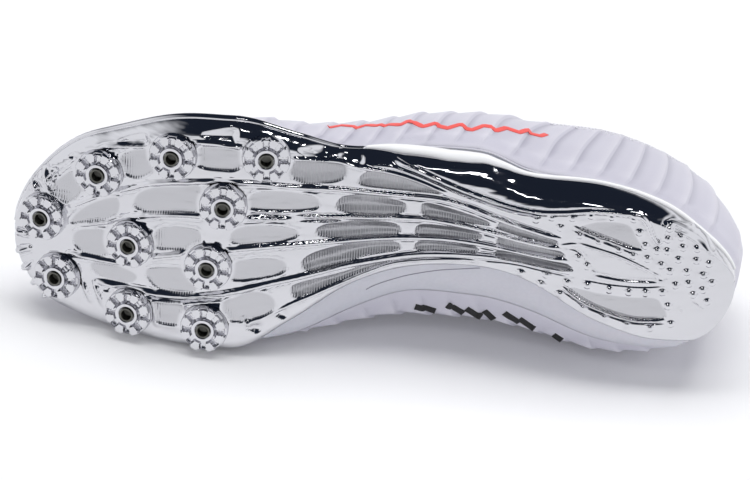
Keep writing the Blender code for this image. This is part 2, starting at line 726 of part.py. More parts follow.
def lay_down(pieces):
    """Lays the shoe on its inner side: the sole towards -Y, the toe towards -X, outer side up."""
    bpy.context.view_layer.update()
    points = world_points(pieces)
    solid = [piece for piece in pieces if piece.type == "MESH"]
    down, contact = resting_face(points, centre_of_mass(solid), Vector((0, -1, 0)))
    up = -down
    toe = Vector((1, 0, 0)) - up * up.x
    toe.normalize()
    sole = up.cross(toe)
    turn = Matrix((-toe, -sole, up)).to_4x4()
    turned = [turn @ point for point in points]
    low = Vector([min(point[axis] for point in turned) for axis in range(3)])
    high = Vector([max(point[axis] for point in turned) for axis in range(3)])
    shift = Vector((-(low.x + high.x) / 2, -(low.y + high.y) / 2, -low.z))
    holder = bpy.data.objects.new("shoe_axes", None)
    bpy.context.scene.collection.objects.link(holder)
    holder.matrix_world = Matrix.Translation(shift) @ turn
    for piece in pieces:
        piece.parent = holder
    print("laid down about", [round(value, 5) for value in down], "shift",
          [round(value, 6) for value in shift])
    print("contact", [[round(value, 4) for value in point] for point in contact])


def build():
    for item in list(bpy.data.objects):
        bpy.data.objects.remove(item)
    materials = make_materials()
    pieces = [
        make_plate(materials["chromed_plate"]),
        make_midsole(materials["white_foam"]),
        make_upper(materials["white_upper"]),
        make_insole(materials["sockliner_textile"]),
        make_tongue(materials["white_upper"]),
        make_lace(materials["lace_polyester"]),
    ]
    pieces += make_wells(materials["chromed_plate"], materials["threaded_steel"])
    strands = list(bpy.data.collections["lace_strands"].objects)
    lay_down(pieces)
    for strand in strands:
        strand.parent = pieces[0].parent


build()
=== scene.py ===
"""Looks of the track spike shoe: a left sprint spike on its inner side, sole to the camera."""

from math import acos, cos, pi, radians, sin

import bmesh
import bpy
import numpy as np
from mathutils import Matrix, Vector
from mathutils.bvhtree import BVHTree


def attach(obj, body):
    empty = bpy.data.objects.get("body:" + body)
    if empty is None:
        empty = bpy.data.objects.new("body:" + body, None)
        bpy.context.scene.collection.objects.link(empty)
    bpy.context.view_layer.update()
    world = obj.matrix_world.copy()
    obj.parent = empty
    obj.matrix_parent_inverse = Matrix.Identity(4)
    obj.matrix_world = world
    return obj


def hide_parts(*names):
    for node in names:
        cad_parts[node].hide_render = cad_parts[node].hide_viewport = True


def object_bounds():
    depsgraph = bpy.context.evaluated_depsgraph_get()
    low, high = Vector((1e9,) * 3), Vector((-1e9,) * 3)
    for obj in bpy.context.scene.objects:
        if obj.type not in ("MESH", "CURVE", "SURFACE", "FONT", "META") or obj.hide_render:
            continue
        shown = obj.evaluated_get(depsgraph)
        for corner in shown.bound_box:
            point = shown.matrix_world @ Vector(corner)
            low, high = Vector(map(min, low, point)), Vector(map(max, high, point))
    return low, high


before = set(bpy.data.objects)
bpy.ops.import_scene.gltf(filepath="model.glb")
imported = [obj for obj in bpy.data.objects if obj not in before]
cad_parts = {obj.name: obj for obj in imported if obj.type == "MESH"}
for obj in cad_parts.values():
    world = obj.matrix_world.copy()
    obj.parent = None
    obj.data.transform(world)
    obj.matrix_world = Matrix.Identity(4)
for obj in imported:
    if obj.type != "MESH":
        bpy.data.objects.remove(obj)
cad_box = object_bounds()

# The camera looks down at the sole from the front, as the photographer did, with a long lens.
# Its angles are turned round the middle of the shoe, and a small roll follows the photograph.
CAMERA_AZIMUTH = radians(-1.28)
CAMERA_ELEVATION = radians(35.6)
CAMERA_ROLL = radians(3.9)
CAMERA_DISTANCE = 2.536
CAMERA_LENS = 311.4         # mm, on a sensor 36 mm wide
AIM_RIGHT = -0.0025         # the shoe's middle stands a little above the picture's
AIM_UP = -0.0123

middle = (cad_box[0] + cad_box[1]) / 2
ahead = Vector((sin(CAMERA_AZIMUTH) * cos(CAMERA_ELEVATION),
                cos(CAMERA_AZIMUTH) * cos(CAMERA_ELEVATION), -sin(CAMERA_ELEVATION)))
level = ahead.cross(Vector((0, 0, 1))).normalized()
upright = level.cross(ahead)
right = level * cos(CAMERA_ROLL) + upright * sin(CAMERA_ROLL)
above = upright * cos(CAMERA_ROLL) - level * sin(CAMERA_ROLL)
camera_data = bpy.data.cameras.new("camera")
camera_data.lens = CAMERA_LENS
camera_data.sensor_width = 36
camera_data.clip_start = 0.1
camera_data.clip_end = 20
camera = bpy.data.objects.new("camera", camera_data)
bpy.context.scene.collection.objects.link(camera)
aim = middle + right * AIM_RIGHT + above * AIM_UP
camera.matrix_world = (Matrix.Translation(aim - ahead * CAMERA_DISTANCE)
                       @ Matrix((right, above, -ahead)).transposed().to_4x4())
bpy.context.scene.camera = camera

# Outsole plate: one moulding of stiff nylon, 1.6 mm thick, vacuum plated with mirror chrome.
# Its floor has five lanes of satin, finely ribbed pads between polished ribs, and its heel
# carries small nubs, two slanted panels and a long leaf. Its outer edge turns up as a side wall.
SHOE_DOWN = Vector((0.03409, -0.98173, 0.18719))    # what is down, in the shoe's axes, as it lies
SHOE_SHIFT = Vector((0.142139, -0.036431, 0.049417))
LIP_WALL = 0.0014
WALL_SHARE = 0.8            # the most of a section's half width that a wall takes
FLOOR_DEPTH = 0.0028
LIP_PLACES = (45, 70, 88, 98, 116, 130, 146)    # where the side wall is cut lower, and by how much
LIP_CUT = (0, 1.5, 3.5, 5.0, 5.0, 3.0, 0)
LIP_TURNS = 40
PLATE_ALONG = 460
PLATE_ACROSS = 168
END_SHARE = 0.35            # how far the sections gather at heel and toe
EDGE_FADE = 4               # the relief fades out over this many sections at heel and toe
SAME_PLACE = 0.00002        # corners of the source's plate this near stand in one section
MM = 0.001
RIB_PITCH = 1.0
BAND_SCALE = 0.314          # a wave texture's scale for bands that are one unit apart

shoe_up = -SHOE_DOWN
shoe_toe = (Vector((1, 0, 0)) - shoe_up * shoe_up.x).normalized()
shoe_sole = shoe_up.cross(shoe_toe)
LAID = Matrix.Translation(SHOE_SHIFT) @ Matrix((-shoe_toe, -shoe_sole, shoe_up)).to_4x4()
TURN = np.array(LAID.to_3x3())
SHIFT = np.array(LAID.translation)

# Places on the plate are in millimetres in the shoe's own axes: along from the heel, across from
# the middle with the outer side positive. The shoe's axes are X forward, Y outward and Z up.
# Satin pads: depth, then the outline
PADS = (
    (0.5, ((271, 17), (266, 24), (260, 28), (257, 24), (259, 18), (264, 13.5))),
    (0.5, ((243, 36), (238, 40), (231, 41), (229.5, 34), (234, 29.5), (240, 29.5))),
    (0.6, ((213.5, 43.5), (208, 46), (197, 45.5), (195.3, 40), (199, 36.8), (212, 37.5))),
    (0.8, ((177, 40.5), (170, 41.8), (157, 40.5), (154.8, 37), (158, 33.5), (168, 32), (174.5, 34))),
    (0.9, ((149, 36.5), (144, 38.2), (134, 36.6), (124, 33.6), (118, 30.8), (126, 30.6), (140, 31.2),
           (149.5, 32.5))),
    (0.4, ((262, 5.5), (257, 12.5), (249, 17.5), (243.5, 18.5), (244, 12), (252, 8))),
    (0.5, ((237, 17), (235.5, 22), (229, 25.8), (219, 27.8), (211, 28.5), (210.8, 19), (220, 17),
           (232, 15.4))),
    (0.5, ((193, 24), (189, 28), (178, 28.6), (168, 27), (165, 24.5), (167, 21.5), (178, 20.6),
           (190, 21))),
    (1.0, ((158.5, 23.5), (155, 27.2), (144, 28), (134, 26.2), (131.2, 24), (134, 20.8), (145, 19.6),
           (156, 20.5))),
    (1.1, ((125.7, 24), (123.5, 26.2), (112, 24.2), (99.8, 20.9), (100.5, 19.4), (112, 19.8),
           (124, 20.6))),
    (1.1, ((96, 19.6), (94, 21), (84, 18.5), (73.5, 16), (73.2, 14), (84, 15.8), (95, 18.2))),
    (0.4, ((261, 0), (257, 3.3), (247, 4), (245.5, -1), (247.5, -6), (256, -6.5), (260, -4))),
    (0.5, ((229.3, 3), (227.5, 8.3), (219, 10.6), (211.5, 10), (210.5, 5.5), (213, 2.6), (222, 0.8),
           (228.5, 0.5))),
    (0.5, ((199, 9), (196, 12.5), (187, 14), (177, 13.4), (172.7, 11.3), (176, 8.4), (187, 6.4),
           (197, 6))),
    (1.0, ((166, 12), (162, 15), (150, 17), (138, 17), (133.3, 15), (134.5, 12.2), (146, 10.4),
           (160, 9.3))),
    (1.1, ((127.7, 14.5), (125, 17), (113, 17), (103, 15.6), (101.5, 14), (103.5, 12.9), (115, 12.6),
           (126.5, 12.3))),
    (1.1, ((96, 13.6), (93.5, 14.6), (82, 12.8), (71, 11.2), (70, 9.2), (82, 10), (94.5, 11.6))),
    (0.3, ((254, -11), (247, -9.5), (238, -11.5), (235.5, -14), (240, -16.8), (250, -15.5))),
    (0.5, ((231.8, -11), (228, -8.2), (217, -7), (212, -10), (212, -15.5), (218, -17.6),
           (227, -16.6))),
    (0.5, ((199, -6), (196, -1.8), (186, 0), (178.5, -1), (177, -4), (181, -7), (190, -9),
           (197, -9.5))),
    (1.0, ((171.3, -1.5), (167, 2.5), (155, 6.5), (141, 9), (134, 8.4), (133.8, 5.4), (146, 2.4),
           (160, -3.4), (168.5, -5))),
    (1.1, ((127.7, 7.6), (124.5, 10), (112, 10), (103.4, 9.4), (103.8, 7.4), (115, 6.9),
           (126.5, 5.8))),
    (1.1, ((96.3, 8.2), (93.5, 9.7), (80, 8), (68, 6), (67.4, 4), (80, 5), (94.5, 6.6))),
    (0.4, ((228.5, -24), (224, -22.2), (217.5, -23), (216.5, -30), (222, -31.6), (228, -30.5))),
    (0.5, ((201, -20), (197, -17.5), (189, -14.6), (182.4, -16.5), (181, -20.5), (185, -24.4),
           (194, -27.4), (200.5, -26))),
    (1.0, ((175, -12.5), (171, -9.8), (158, -6.2), (146, -1.8), (136, 0.6), (148, -4.6), (160, -10.6),
           (172, -16.4))),
)
# Recesses without the satin: darts on the flange, and the panels and leaf of the heel
PANELS = (
    (1.1, ((243.5, 42.6), (237, 46.4), (233, 47.2), (232, 43.4), (236, 42.4))),
    (1.1, ((211, 50.5), (203, 53.4), (197.4, 54), (197.6, 48.4), (203, 48.4))),
    (1.1, ((173, 46.6), (164, 46.2), (161, 43), (166, 41.8), (171, 44))),
    (1.1, ((158, 43.6), (149, 43.2), (149.6, 39.8), (153, 40.4))),
    (0.9, ((263, 33.4), (260, 35), (259.5, 31))),
    (0.9, ((271, 26), (268, 27.6), (267, 23.5))),
    (0.9, ((192, -29.5), (187, -31.6), (186, -28))),
    (0.9, ((181, -23.5), (176.5, -25.6), (177, -21.6))),
    (0.30, ((62, 13.6), (52, 12), (42, 8.2), (30, 2.2), (44, 1.2), (56, 3), (60, 8))),
)
RIBBED_PANELS = (
    (0.35, ((64.5, 21.6), (57, 25), (46, 24.6), (42, 19), (40, 14.6), (50, 17), (58, 19.6))),
    (0.35, ((66, -3.4), (55, -5.2), (44, -6.2), (34, -6.2), (31, -9), (29.4, -14), (40, -15.4),
            (50, -13.2), (60, -9.4), (67, -5.4))),
)
# Raised lines: height, half width, then the line. The first few are short tabs between the wells.
RIDGES = (
    (0.8, 0.8, ((257.3, -18.5), (255.8, -22), (254, -26.5))),
    (0.8, 0.8, ((252.5, -18.5), (251, -22.5), (249.2, -27.5))),
    (0.8, 0.8, ((229.6, -22), (228.4, -27), (227.2, -32.5))),
    (0.8, 0.8, ((216.4, -21.5), (216, -27), (215.6, -33))),
    (0.7, 0.7, ((203.4, -27), (202.2, -29), (201, -31.4))),
    (0.7, 0.7, ((193.3, -25.5), (191.4, -28), (189, -31))),
    (0.55, 0.75, ((272, 20), (262, 30.5), (250, 39), (240, 41.6), (230, 43.6), (214, 47.2), (196, 47),
                  (178, 43), (160, 41.6), (148, 39.4), (136, 37.6), (126, 34.6), (116, 31))),
    (0.60, 0.85, ((262, 12.5), (250, 19.5), (240, 23.5), (230, 27.6), (218, 30), (205, 31.6),
                  (190, 31.8), (175, 30.6), (160, 30), (145, 29.2), (130, 28.6), (118, 28.2),
                  (108, 26.4), (97, 23), (85, 19.8), (72, 16.6))),
    (0.60, 0.85, ((259, 5), (246, 8.6), (236, 12.5), (225, 15), (214, 16.2), (193, 16.8), (180, 17.4),
                  (165, 18), (150, 18.6), (135, 19.1), (120, 19.2), (108, 18), (97, 16.3), (85, 14.2),
                  (72, 12.4))),
    (0.60, 0.85, ((262, -8), (250, -8.5), (240, -8), (229, -3.5), (215, 0), (200, 3), (185, 5),
                  (170, 6.6), (160, 7.6), (150, 9), (140, 10.3), (130, 11), (115, 11.8), (100, 11),
                  (85, 9.2), (69, 7.4))),
    (0.65, 0.95, ((252, -18), (240, -18.6), (228, -19), (216, -18.6), (205, -16.5), (195, -14),
                  (185, -11), (175, -8.4), (165, -5.6), (155, -2.6), (145, 0), (135, 2.4), (125, 4.2),
                  (112, 5.6), (100, 6.1), (88, 6.1), (78, 4.6), (67, 3))),
    (0.35, 0.60, ((182, -24), (175, -19.4), (165, -14.6), (155, -9.6), (145, -4.4), (136, -0.4),
                  (125, 1.8), (112, 3.6), (100, 4.6))),
    (0.60, 0.60, ((137, 43), (127, 39.6), (118, 36.2), (110, 33.4), (100, 30.6), (90, 28.2),
                  (80, 27.2), (70, 28), (60, 29.4), (50, 29.2), (42, 28.4), (38.4, 26), (35.5, 20),
                  (33.4, 17.4), (32, 19.5), (31.4, 24.5), (29.5, 25.3), (24, 22.6), (18, 18.6),
                  (12.5, 13.6))),
    (0.60, 0.60, ((66, 22.2), (58, 19.4), (50, 16.6), (44, 14.4), (40.5, 13.6))),
    (0.30, 0.50, ((64, 15.4), (57, 13.6), (48, 10.8), (40, 7.2), (30, 2))),
    (0.30, 0.45, ((72, 13.4), (68, 14.8), (64, 15.2))),
    (0.60, 0.60, ((69, -4), (60, -9.8), (50, -13.6), (41, -15.8), (30, -15.6))),
)
# Sunk lines: depth, half width, then the line
GROOVES = (
    (0.9, 1.0, ((248, -20.6), (236, -21), (222, -20.8), (212, -19.4), (202, -17.4))),
    (0.6, 0.8, ((192, 18.9), (182, 18.3), (168, 17.2), (155, 16.9))),
    (0.5, 0.7, ((137, 41.4), (127, 38), (118, 34.6), (110, 31.8), (100, 29), (90, 26.8), (80, 25.9))),
    (0.30, 0.45, ((58, 3), (50, 1.6), (44, 1.1), (33, 1))),
    (0.25, 0.40, ((69, 13), (65, 12.6), (61, 9), (58.6, 4.6))),
    (0.20, 0.40, ((62, 0.6), (52, -0.8), (40, -1.4), (30, -0.6))),
    (0.25, 0.40, ((24, -8), (22.4, -13))),
    (0.25, 0.40, ((20, -6), (15, -10))),
    (0.25, 0.50, ((66, 21), (58, 18.2), (50, 15.4), (44, 13.2))),
    (0.25, 0.50, ((69, -5.1), (60, -10.9), (50, -14.7), (41, -16.8), (30, -16.6))),
)
NUBS = (
    (81, 24), (75, 25.5), (67, 26), (60, 27.5), (52, 27.5), (43.5, 27), (71.5, 21.5), (29.5, 23.6),
    (25, 20), (64, 19), (56.5, 17.2), (48.5, 14), (43, 11.6), (41, 21.5), (38.6, 16), (34, 14),
    (37.5, 10.5), (30, 14), (30, 19), (24, 15.6), (18.5, 15), (25.5, 10.5), (18.5, 10), (13.5, 8.6),
    (32, 8), (28.5, 5.5), (22, 5.2), (15.5, 3.8), (26, -0.5), (21, 0.2), (12, 0.6), (15.5, -2.5),
    (19, -4.5), (13.5, -7.5), (86, 1), (76, 1), (78, -3), (68, -1.5), (60, -2), (51.5, -3.4),
    (44, -4), (37.5, -4), (31, -3.5), (70.5, -6.6), (61.5, -11.6), (53, -15), (44, -18), (35, -19),
    (28.5, -9.5), (27, -17), (60.5, 6), (64, 9.5),
)
NUB_RADIUS = 1.5
NUB_HEIGHT = 0.95
RIDGE_GROWTH = 1.5          # lines rise or sink by this times their height
LINE_REACH = 1.5            # where a line's flank ends, in half widths
BESIDE_REACH = 2.6          # where the dip beside it ends
BESIDE_LINE = 0.3           # the depth of that dip, as a share of the line's height
LINE_TAPER = 6              # a line grows over this length from its ends,
LINE_END = 0.25             # and has this share of the growth there
COMB_CENTRE = (262, -3)     # the comb's teeth fan out round this place
COMB_TEETH = 9
COMB_SPREAD = 62            # degrees to either side
COMB_REACH = (17.5, 20.5, 24)
COMB_STRETCH = 1.35         # the fan is wider than it is long
COMB_HEIGHT = 1.3
COMB_HALF_WIDTH = 0.9
PAD_EDGE = 0.9              # width of a recess's sloping edge
PANEL_EDGE = 0.7
FLAT_DEPTH = 0.6            # a pad that is deeper than this is a trough
TROUGH = 1.15
TROUGH_ROUND = 0.25
FLAT_SATIN = 0.55
RIM_FROM = 0.38             # a flat pad that is at least this deep has a raised outline
PAD_RIM = 0.3
PAD_RIM_WIDTH = 0.8
SEAT_RADIUS = 10.6          # the floor is level round each spike well
SEAT_EDGE = 1.6


def in_shoe_axes(points):
    return (np.asarray(points) - SHIFT) @ TURN


def as_it_lies(points):
    return np.asarray(points) @ TURN.T + SHIFT


def corners_of(node):
    """A node's corners, in the shoe's axes."""
    return in_shoe_axes([vertex.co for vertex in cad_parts[node].data.vertices])


def station(share):
    """Place on a scale that opens out at heel and toe, where the outline is round."""
    return np.arccos(1 - 2 * np.clip(share, 0, 1)) / pi


def smooth_curve(places, values):
    """A smooth curve through a value at each place."""
    slopes = np.gradient(values, places)

    def value_at(where):
        index = np.clip(np.searchsorted(places, where) - 1, 0, len(places) - 2)
        run = places[index + 1] - places[index]
        t = (where - places[index]) / run
        rise = values[index + 1] - values[index]
        start, end = slopes[index] * run, slopes[index + 1] * run
        return (values[index] + t * start + t * t * (3 * rise - 2 * start - end)
                + t ** 3 * (start + end - 2 * rise))
    return value_at


def plate_curves():
    """Edges and feet of the plate along the shoe, read from the sections of the frame's plate."""
    points = corners_of("outsole_plate")
    places = np.unique(np.round(points[:, 0], 5))
    places = [place for index, place in enumerate(places)
              if index == 0 or place - places[index - 1] > SAME_PLACE]
    rows = []
    for place in places:
        section = points[abs(points[:, 0] - place) < 1.5 * SAME_PLACE]
        base = section[:, 2].min()
        floor = section[section[:, 2] < base + SAME_PLACE][:, 1]
        outer, inner = section[:, 1].max(), section[:, 1].min()
        outer_top = section[section[:, 1] > outer - SAME_PLACE / 2][:, 2].max()
        inner_top = section[section[:, 1] < inner + SAME_PLACE / 2][:, 2].max()
        rows.append((outer, outer_top, floor.max(), base, floor.min(), inner, inner_top))
    places = np.array(places)
    shares = station((places - places[0]) / (places[-1] - places[0]))
    names = ("outer", "outer_top", "outer_foot", "base", "inner_foot", "inner", "inner_top")
    curves = {name: smooth_curve(shares, column) for name, column in zip(names, np.array(rows).T)}
    return places[0], places[-1], curves


def smooth_outline(points, closed, spacing=0.8):
    """A smooth curve through a line's or an outline's points, as many short straight runs."""
    points = np.array(points, float)
    if closed:
        path = np.vstack([points[-1], points, points[0], points[1]])
    else:
        path = np.vstack([2 * points[0] - points[1], points, 2 * points[-1] - points[-2]])
    run = []
    for before, start, end, after in zip(path, path[1:], path[2:], path[3:]):
        steps = max(2, int(np.linalg.norm(end - start) / spacing))
        for t in np.arange(steps) / steps:
            run.append(0.5 * (2 * start + (end - before) * t
                              + (2 * before - 5 * start + 4 * end - after) * t * t
                              + (3 * start - before - 3 * end + after) * t ** 3))
    if not closed:
        run.append(points[-1])
    return np.array(run)


def distance_to(points, line, closed):
    """Distance from each point to a line, and whether the line goes round it."""
    distance = np.full(len(points), 1e9)
    inside = np.zeros(len(points), bool)
    following = np.roll(line, -1, axis=0) if closed else line[1:]
    for start, end in zip(line, following):
        along = end - start
        share = np.clip((points - start) @ along / max(along @ along, 1e-12), 0, 1)
        gap = points - start - np.outer(share, along)
        distance = np.minimum(distance, np.hypot(gap[:, 0], gap[:, 1]))
        crosses = (start[1] > points[:, 1]) != (end[1] > points[:, 1])
        if along[1] and closed:
            at = start[0] + (points[:, 1] - start[1]) / along[1] * along[0]
            inside ^= crosses & (points[:, 0] < at)
    return distance, inside


def near(points, line, reach):
    """Which points lie in a line's box, with some reach round it."""
    low, high = line.min(axis=0) - reach, line.max(axis=0) + reach
    return np.all((points > low) & (points < high), axis=1)


def length_along(path):
    """How far along a path each of its points lies."""
    return np.concatenate([[0], np.cumsum(np.linalg.norm(np.diff(path, axis=0), axis=1))])


def soft_step(value):
    value = np.clip(value, 0, 1)
    return value * value * (3 - 2 * value)


def recess(points, height, outline, depth, edge):
    """Sinks an outline into the plate, with a sloping edge and the deeper ones rounded like a
    trough, and gives the share that is sunk."""
    line = smooth_outline(outline, True)
    chosen = np.where(near(points, line, 1.0))[0]
    distance, inside = distance_to(points[chosen], line, True)
    share = np.zeros(len(points))
    share[chosen] = soft_step(np.where(inside, distance, -distance) / edge + 0.5)
    height -= min(depth, FLAT_DEPTH) * share
    off_rim = abs(np.where(inside, -distance, distance) - PAD_RIM_WIDTH) / PAD_RIM_WIDTH
    if RIM_FROM <= depth <= FLAT_DEPTH:
        height[chosen] += PAD_RIM * soft_step(1 - off_rim)
    deepest = distance[inside].max()
    hollow = 1 - np.sqrt((1 - np.where(inside, distance, 0) / deepest) ** 2 + TROUGH_ROUND ** 2)
    height[chosen] -= max(depth - FLAT_DEPTH, 0) * TROUGH * deepest * np.maximum(hollow, 0)
    return share


def raise_line(points, height, line, amount, half_width):
    """Raises a round-topped line that tapers to nothing at its ends, or sinks it."""
    run = smooth_outline(line, False)
    chosen = np.where(near(points, run, 3 * half_width))[0]
    distance, _ = distance_to(points[chosen], run, False)
    ends = np.minimum(np.hypot(*(points[chosen] - run[0]).T), np.hypot(*(points[chosen] - run[-1]).T))
    profile = soft_step(LINE_REACH - distance / half_width)
    beside = soft_step(BESIDE_REACH - distance / half_width) - profile
    height[chosen] += (RIDGE_GROWTH * amount * (profile - BESIDE_LINE * beside)
                       * soft_step(LINE_END + ends / LINE_TAPER))


def plate_relief(points, wells):
    """Height of the relief over the plate's plain form, in mm, and the share of satin. The share
    also darkens the chrome's colour: in part the satin finish, in part a painted shade, which is
    full on the deep troughs.
    """
    height = np.zeros(len(points))
    satin_and_shade = np.zeros(len(points))
    for depth, outline in PADS:
        # deep troughs take the full satin share, so their darker colour is in part a painted shade
        satin_and_trough_shade = FLAT_SATIN if depth <= FLAT_DEPTH else 1.0
        satin_and_shade = np.maximum(satin_and_shade, satin_and_trough_shade * recess(points, height, outline, depth, PAD_EDGE))
    for depth, outline in RIBBED_PANELS:
        sunk = recess(points, height, outline, depth, PANEL_EDGE)
        satin_and_shade = np.maximum(satin_and_shade, FLAT_SATIN * sunk)
    for depth, outline in PANELS:
        recess(points, height, outline, depth, PANEL_EDGE)
    for depth, half_width, line in GROOVES:
        raise_line(points, height, line, -depth, half_width)
    for amount, half_width, line in RIDGES:
        raise_line(points, height, line, amount, half_width)
    for index in range(COMB_TEETH):
        turn = radians(COMB_SPREAD * (2 * index / (COMB_TEETH - 1) - 1))
        line = [(COMB_CENTRE[0] + reach * cos(turn), COMB_CENTRE[1] + COMB_STRETCH * reach * sin(turn))
                for reach in COMB_REACH]
        raise_line(points, height, line, COMB_HEIGHT, COMB_HALF_WIDTH)
    for well in wells:
        distance = np.hypot(*(points - well).T)
        level = soft_step((distance - SEAT_RADIUS) / SEAT_EDGE + 0.5)
        height *= level
        satin_and_shade *= level
    for nub in NUBS:
        distance = np.hypot(*(points - np.array(nub)).T) / NUB_RADIUS
        height += NUB_HEIGHT * np.sqrt(np.clip(1 - distance ** 2, 0, 1)) * (distance < 1)
    return height, satin_and_shade


def well_places():
    """Middle of each spike well's seat, in mm."""
    return [corners_of(f"spike_insert_{index:02d}").mean(axis=0)[:2] / MM for index in range(1, 11)]


def mesh_from_grid(name, grid, closed_round=False):
    """A mesh over a grid of points, in rows, with its faces pointing out of the rows' right side."""
    rows, columns = grid.shape[:2]
    index = np.arange(rows * columns).reshape(rows, columns)
    if closed_round:
        index = np.hstack([index, index[:, :1]])
    faces = np.stack([index[:-1, :-1], index[1:, :-1], index[1:, 1:], index[:-1, 1:]], axis=-1)
    mesh = bpy.data.meshes.new(name)
    mesh.from_pydata(grid.reshape(-1, 3).tolist(), [], faces.reshape(-1, 4).tolist())
    return mesh


def make_piece(name, mesh, material, slot, *replaced):
    """Adds a mesh to the shoe as a piece that rides on its one body."""
    mesh.materials.clear()
    mesh.materials.append(material)
    piece = bpy.data.objects.new(name, mesh)
    bpy.context.scene.collection.objects.link(piece)
    if replaced:
        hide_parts(*replaced)
    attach(piece, "root")


def face_out(mesh, weld=0.0, slivers=False):
    """Turns a closed mesh's faces outward and shades it smooth. Before that it welds corners that
    stand together, and takes out slivers."""
    bm = bmesh.new()
    bm.from_mesh(mesh)
    if weld:
        bmesh.ops.remove_doubles(bm, verts=bm.verts, dist=weld)
    if slivers:
        bmesh.ops.dissolve_degenerate(bm, edges=bm.edges, dist=weld)
    bm.normal_update()
    bmesh.ops.recalc_face_normals(bm, faces=bm.faces)
    bm.to_mesh(mesh)
    bm.free()
    mesh.shade_smooth()


def grid_normals(grid):
    """Direction square to a grid of points, from the differences of its neighbours."""
    normal = np.cross(np.gradient(grid, axis=0), np.gradient(grid, axis=1))
    return normal / np.maximum(np.linalg.norm(normal, axis=2, keepdims=True), 1e-12)


def plate_grid(heel, toe, curves):
    """The plate's plain outside: side wall, floor and inner wall, evenly spaced in each section."""
    run = np.linspace(0, 1, PLATE_ALONG)
    shares = (1 - END_SHARE) * run + END_SHARE * (1 - np.cos(pi * run)) / 2
    turns = np.linspace(pi / 2, 0, LIP_TURNS)
    grid = []
    for share in shares:
        at = {name: curve(station(share)) for name, curve in curves.items()}
        rise = at["outer_top"] - at["base"]
        cut = MM * np.interp((heel + share * (toe - heel)) / MM, LIP_PLACES, LIP_CUT)
        lip_turn = acos(min(1, cut / rise)) if cut else pi / 2
        outer = [(at["outer_foot"] + (at["outer"] - at["outer_foot"]) * sin(turn),
                  at["base"] + rise * (1 - cos(turn))) for turn in turns * lip_turn / (pi / 2)]
        inner = [(at["inner_foot"] + (at["inner"] - at["inner_foot"]) * sin(turn),
                  at["base"] + (at["inner_top"] - at["base"]) * (1 - cos(turn)))
                 for turn in turns[::-1]]
        section = np.array(outer + inner)
        length = length_along(section)
        wanted = np.linspace(0, length[-1], PLATE_ACROSS)
        x = np.full(PLATE_ACROSS, heel + share * (toe - heel))
        grid.append(np.stack([x, np.interp(wanted, length, section[:, 0]),
                              np.interp(wanted, length, section[:, 1])], axis=-1))
    return np.array(grid)


def plate_back(grid, curves):
    """The hidden side of the plate: from the inner edge over the floor to the outer edge."""
    rows = []
    for section in grid:
        outer, inner = section[0], section[-1]
        share = station((section[0, 0] - grid[0, 0, 0]) / (grid[-1, 0, 0] - grid[0, 0, 0]))
        floor = curves["base"](share) + FLOOR_DEPTH
        half = (outer[1] - inner[1]) / 2
        wall = min(LIP_WALL, WALL_SHARE * half)
        foot_out = min(curves["outer_foot"](share), outer[1]) - wall
        foot_in = max(curves["inner_foot"](share), inner[1]) + wall
        middle_y = (outer[1] + inner[1]) / 2
        rows.append([(outer[0], inner[1] + wall, max(inner[2], floor)),
                     (outer[0], min(foot_in, middle_y), floor),
                     (outer[0], max(foot_out, middle_y), floor),
                     (outer[0], outer[1] - wall, max(outer[2], floor))])
    return np.array(rows)


def srgb(code):
    """A linear colour from an sRGB hex code."""
    channels = [int(code[index:index + 2], 16) / 255 for index in (1, 3, 5)]
    return tuple(channel / 12.92 if channel <= 0.04045 else ((channel + 0.055) / 1.055) ** 2.4
                 for channel in channels) + (1.0,)


def set_inputs(node, inputs):
    """Gives a node's inputs their values or links."""
    for name, value in inputs.items():
        if isinstance(value, bpy.types.NodeSocket):
            node.id_data.links.new(value, node.inputs[name])
        else:
            node.inputs[name].default_value = value


def add_node(tree, kind, inputs=None, **settings):
    """Adds a shader node with its settings and inputs."""
    node = tree.nodes.new("ShaderNode" + kind)
    for name, value in settings.items():
        setattr(node, name, value)
    set_inputs(node, inputs or {})
    return node


def new_material(name, **values):
    """A material with its shader's fixed values, and its tree and shader to build on."""
    material = bpy.data.materials.new(name)
    material.use_nodes = True
    shader = material.node_tree.nodes["Principled BSDF"]
    set_inputs(shader, {name.replace("_", " "): value for name, value in values.items()})
    return material, material.node_tree, shader


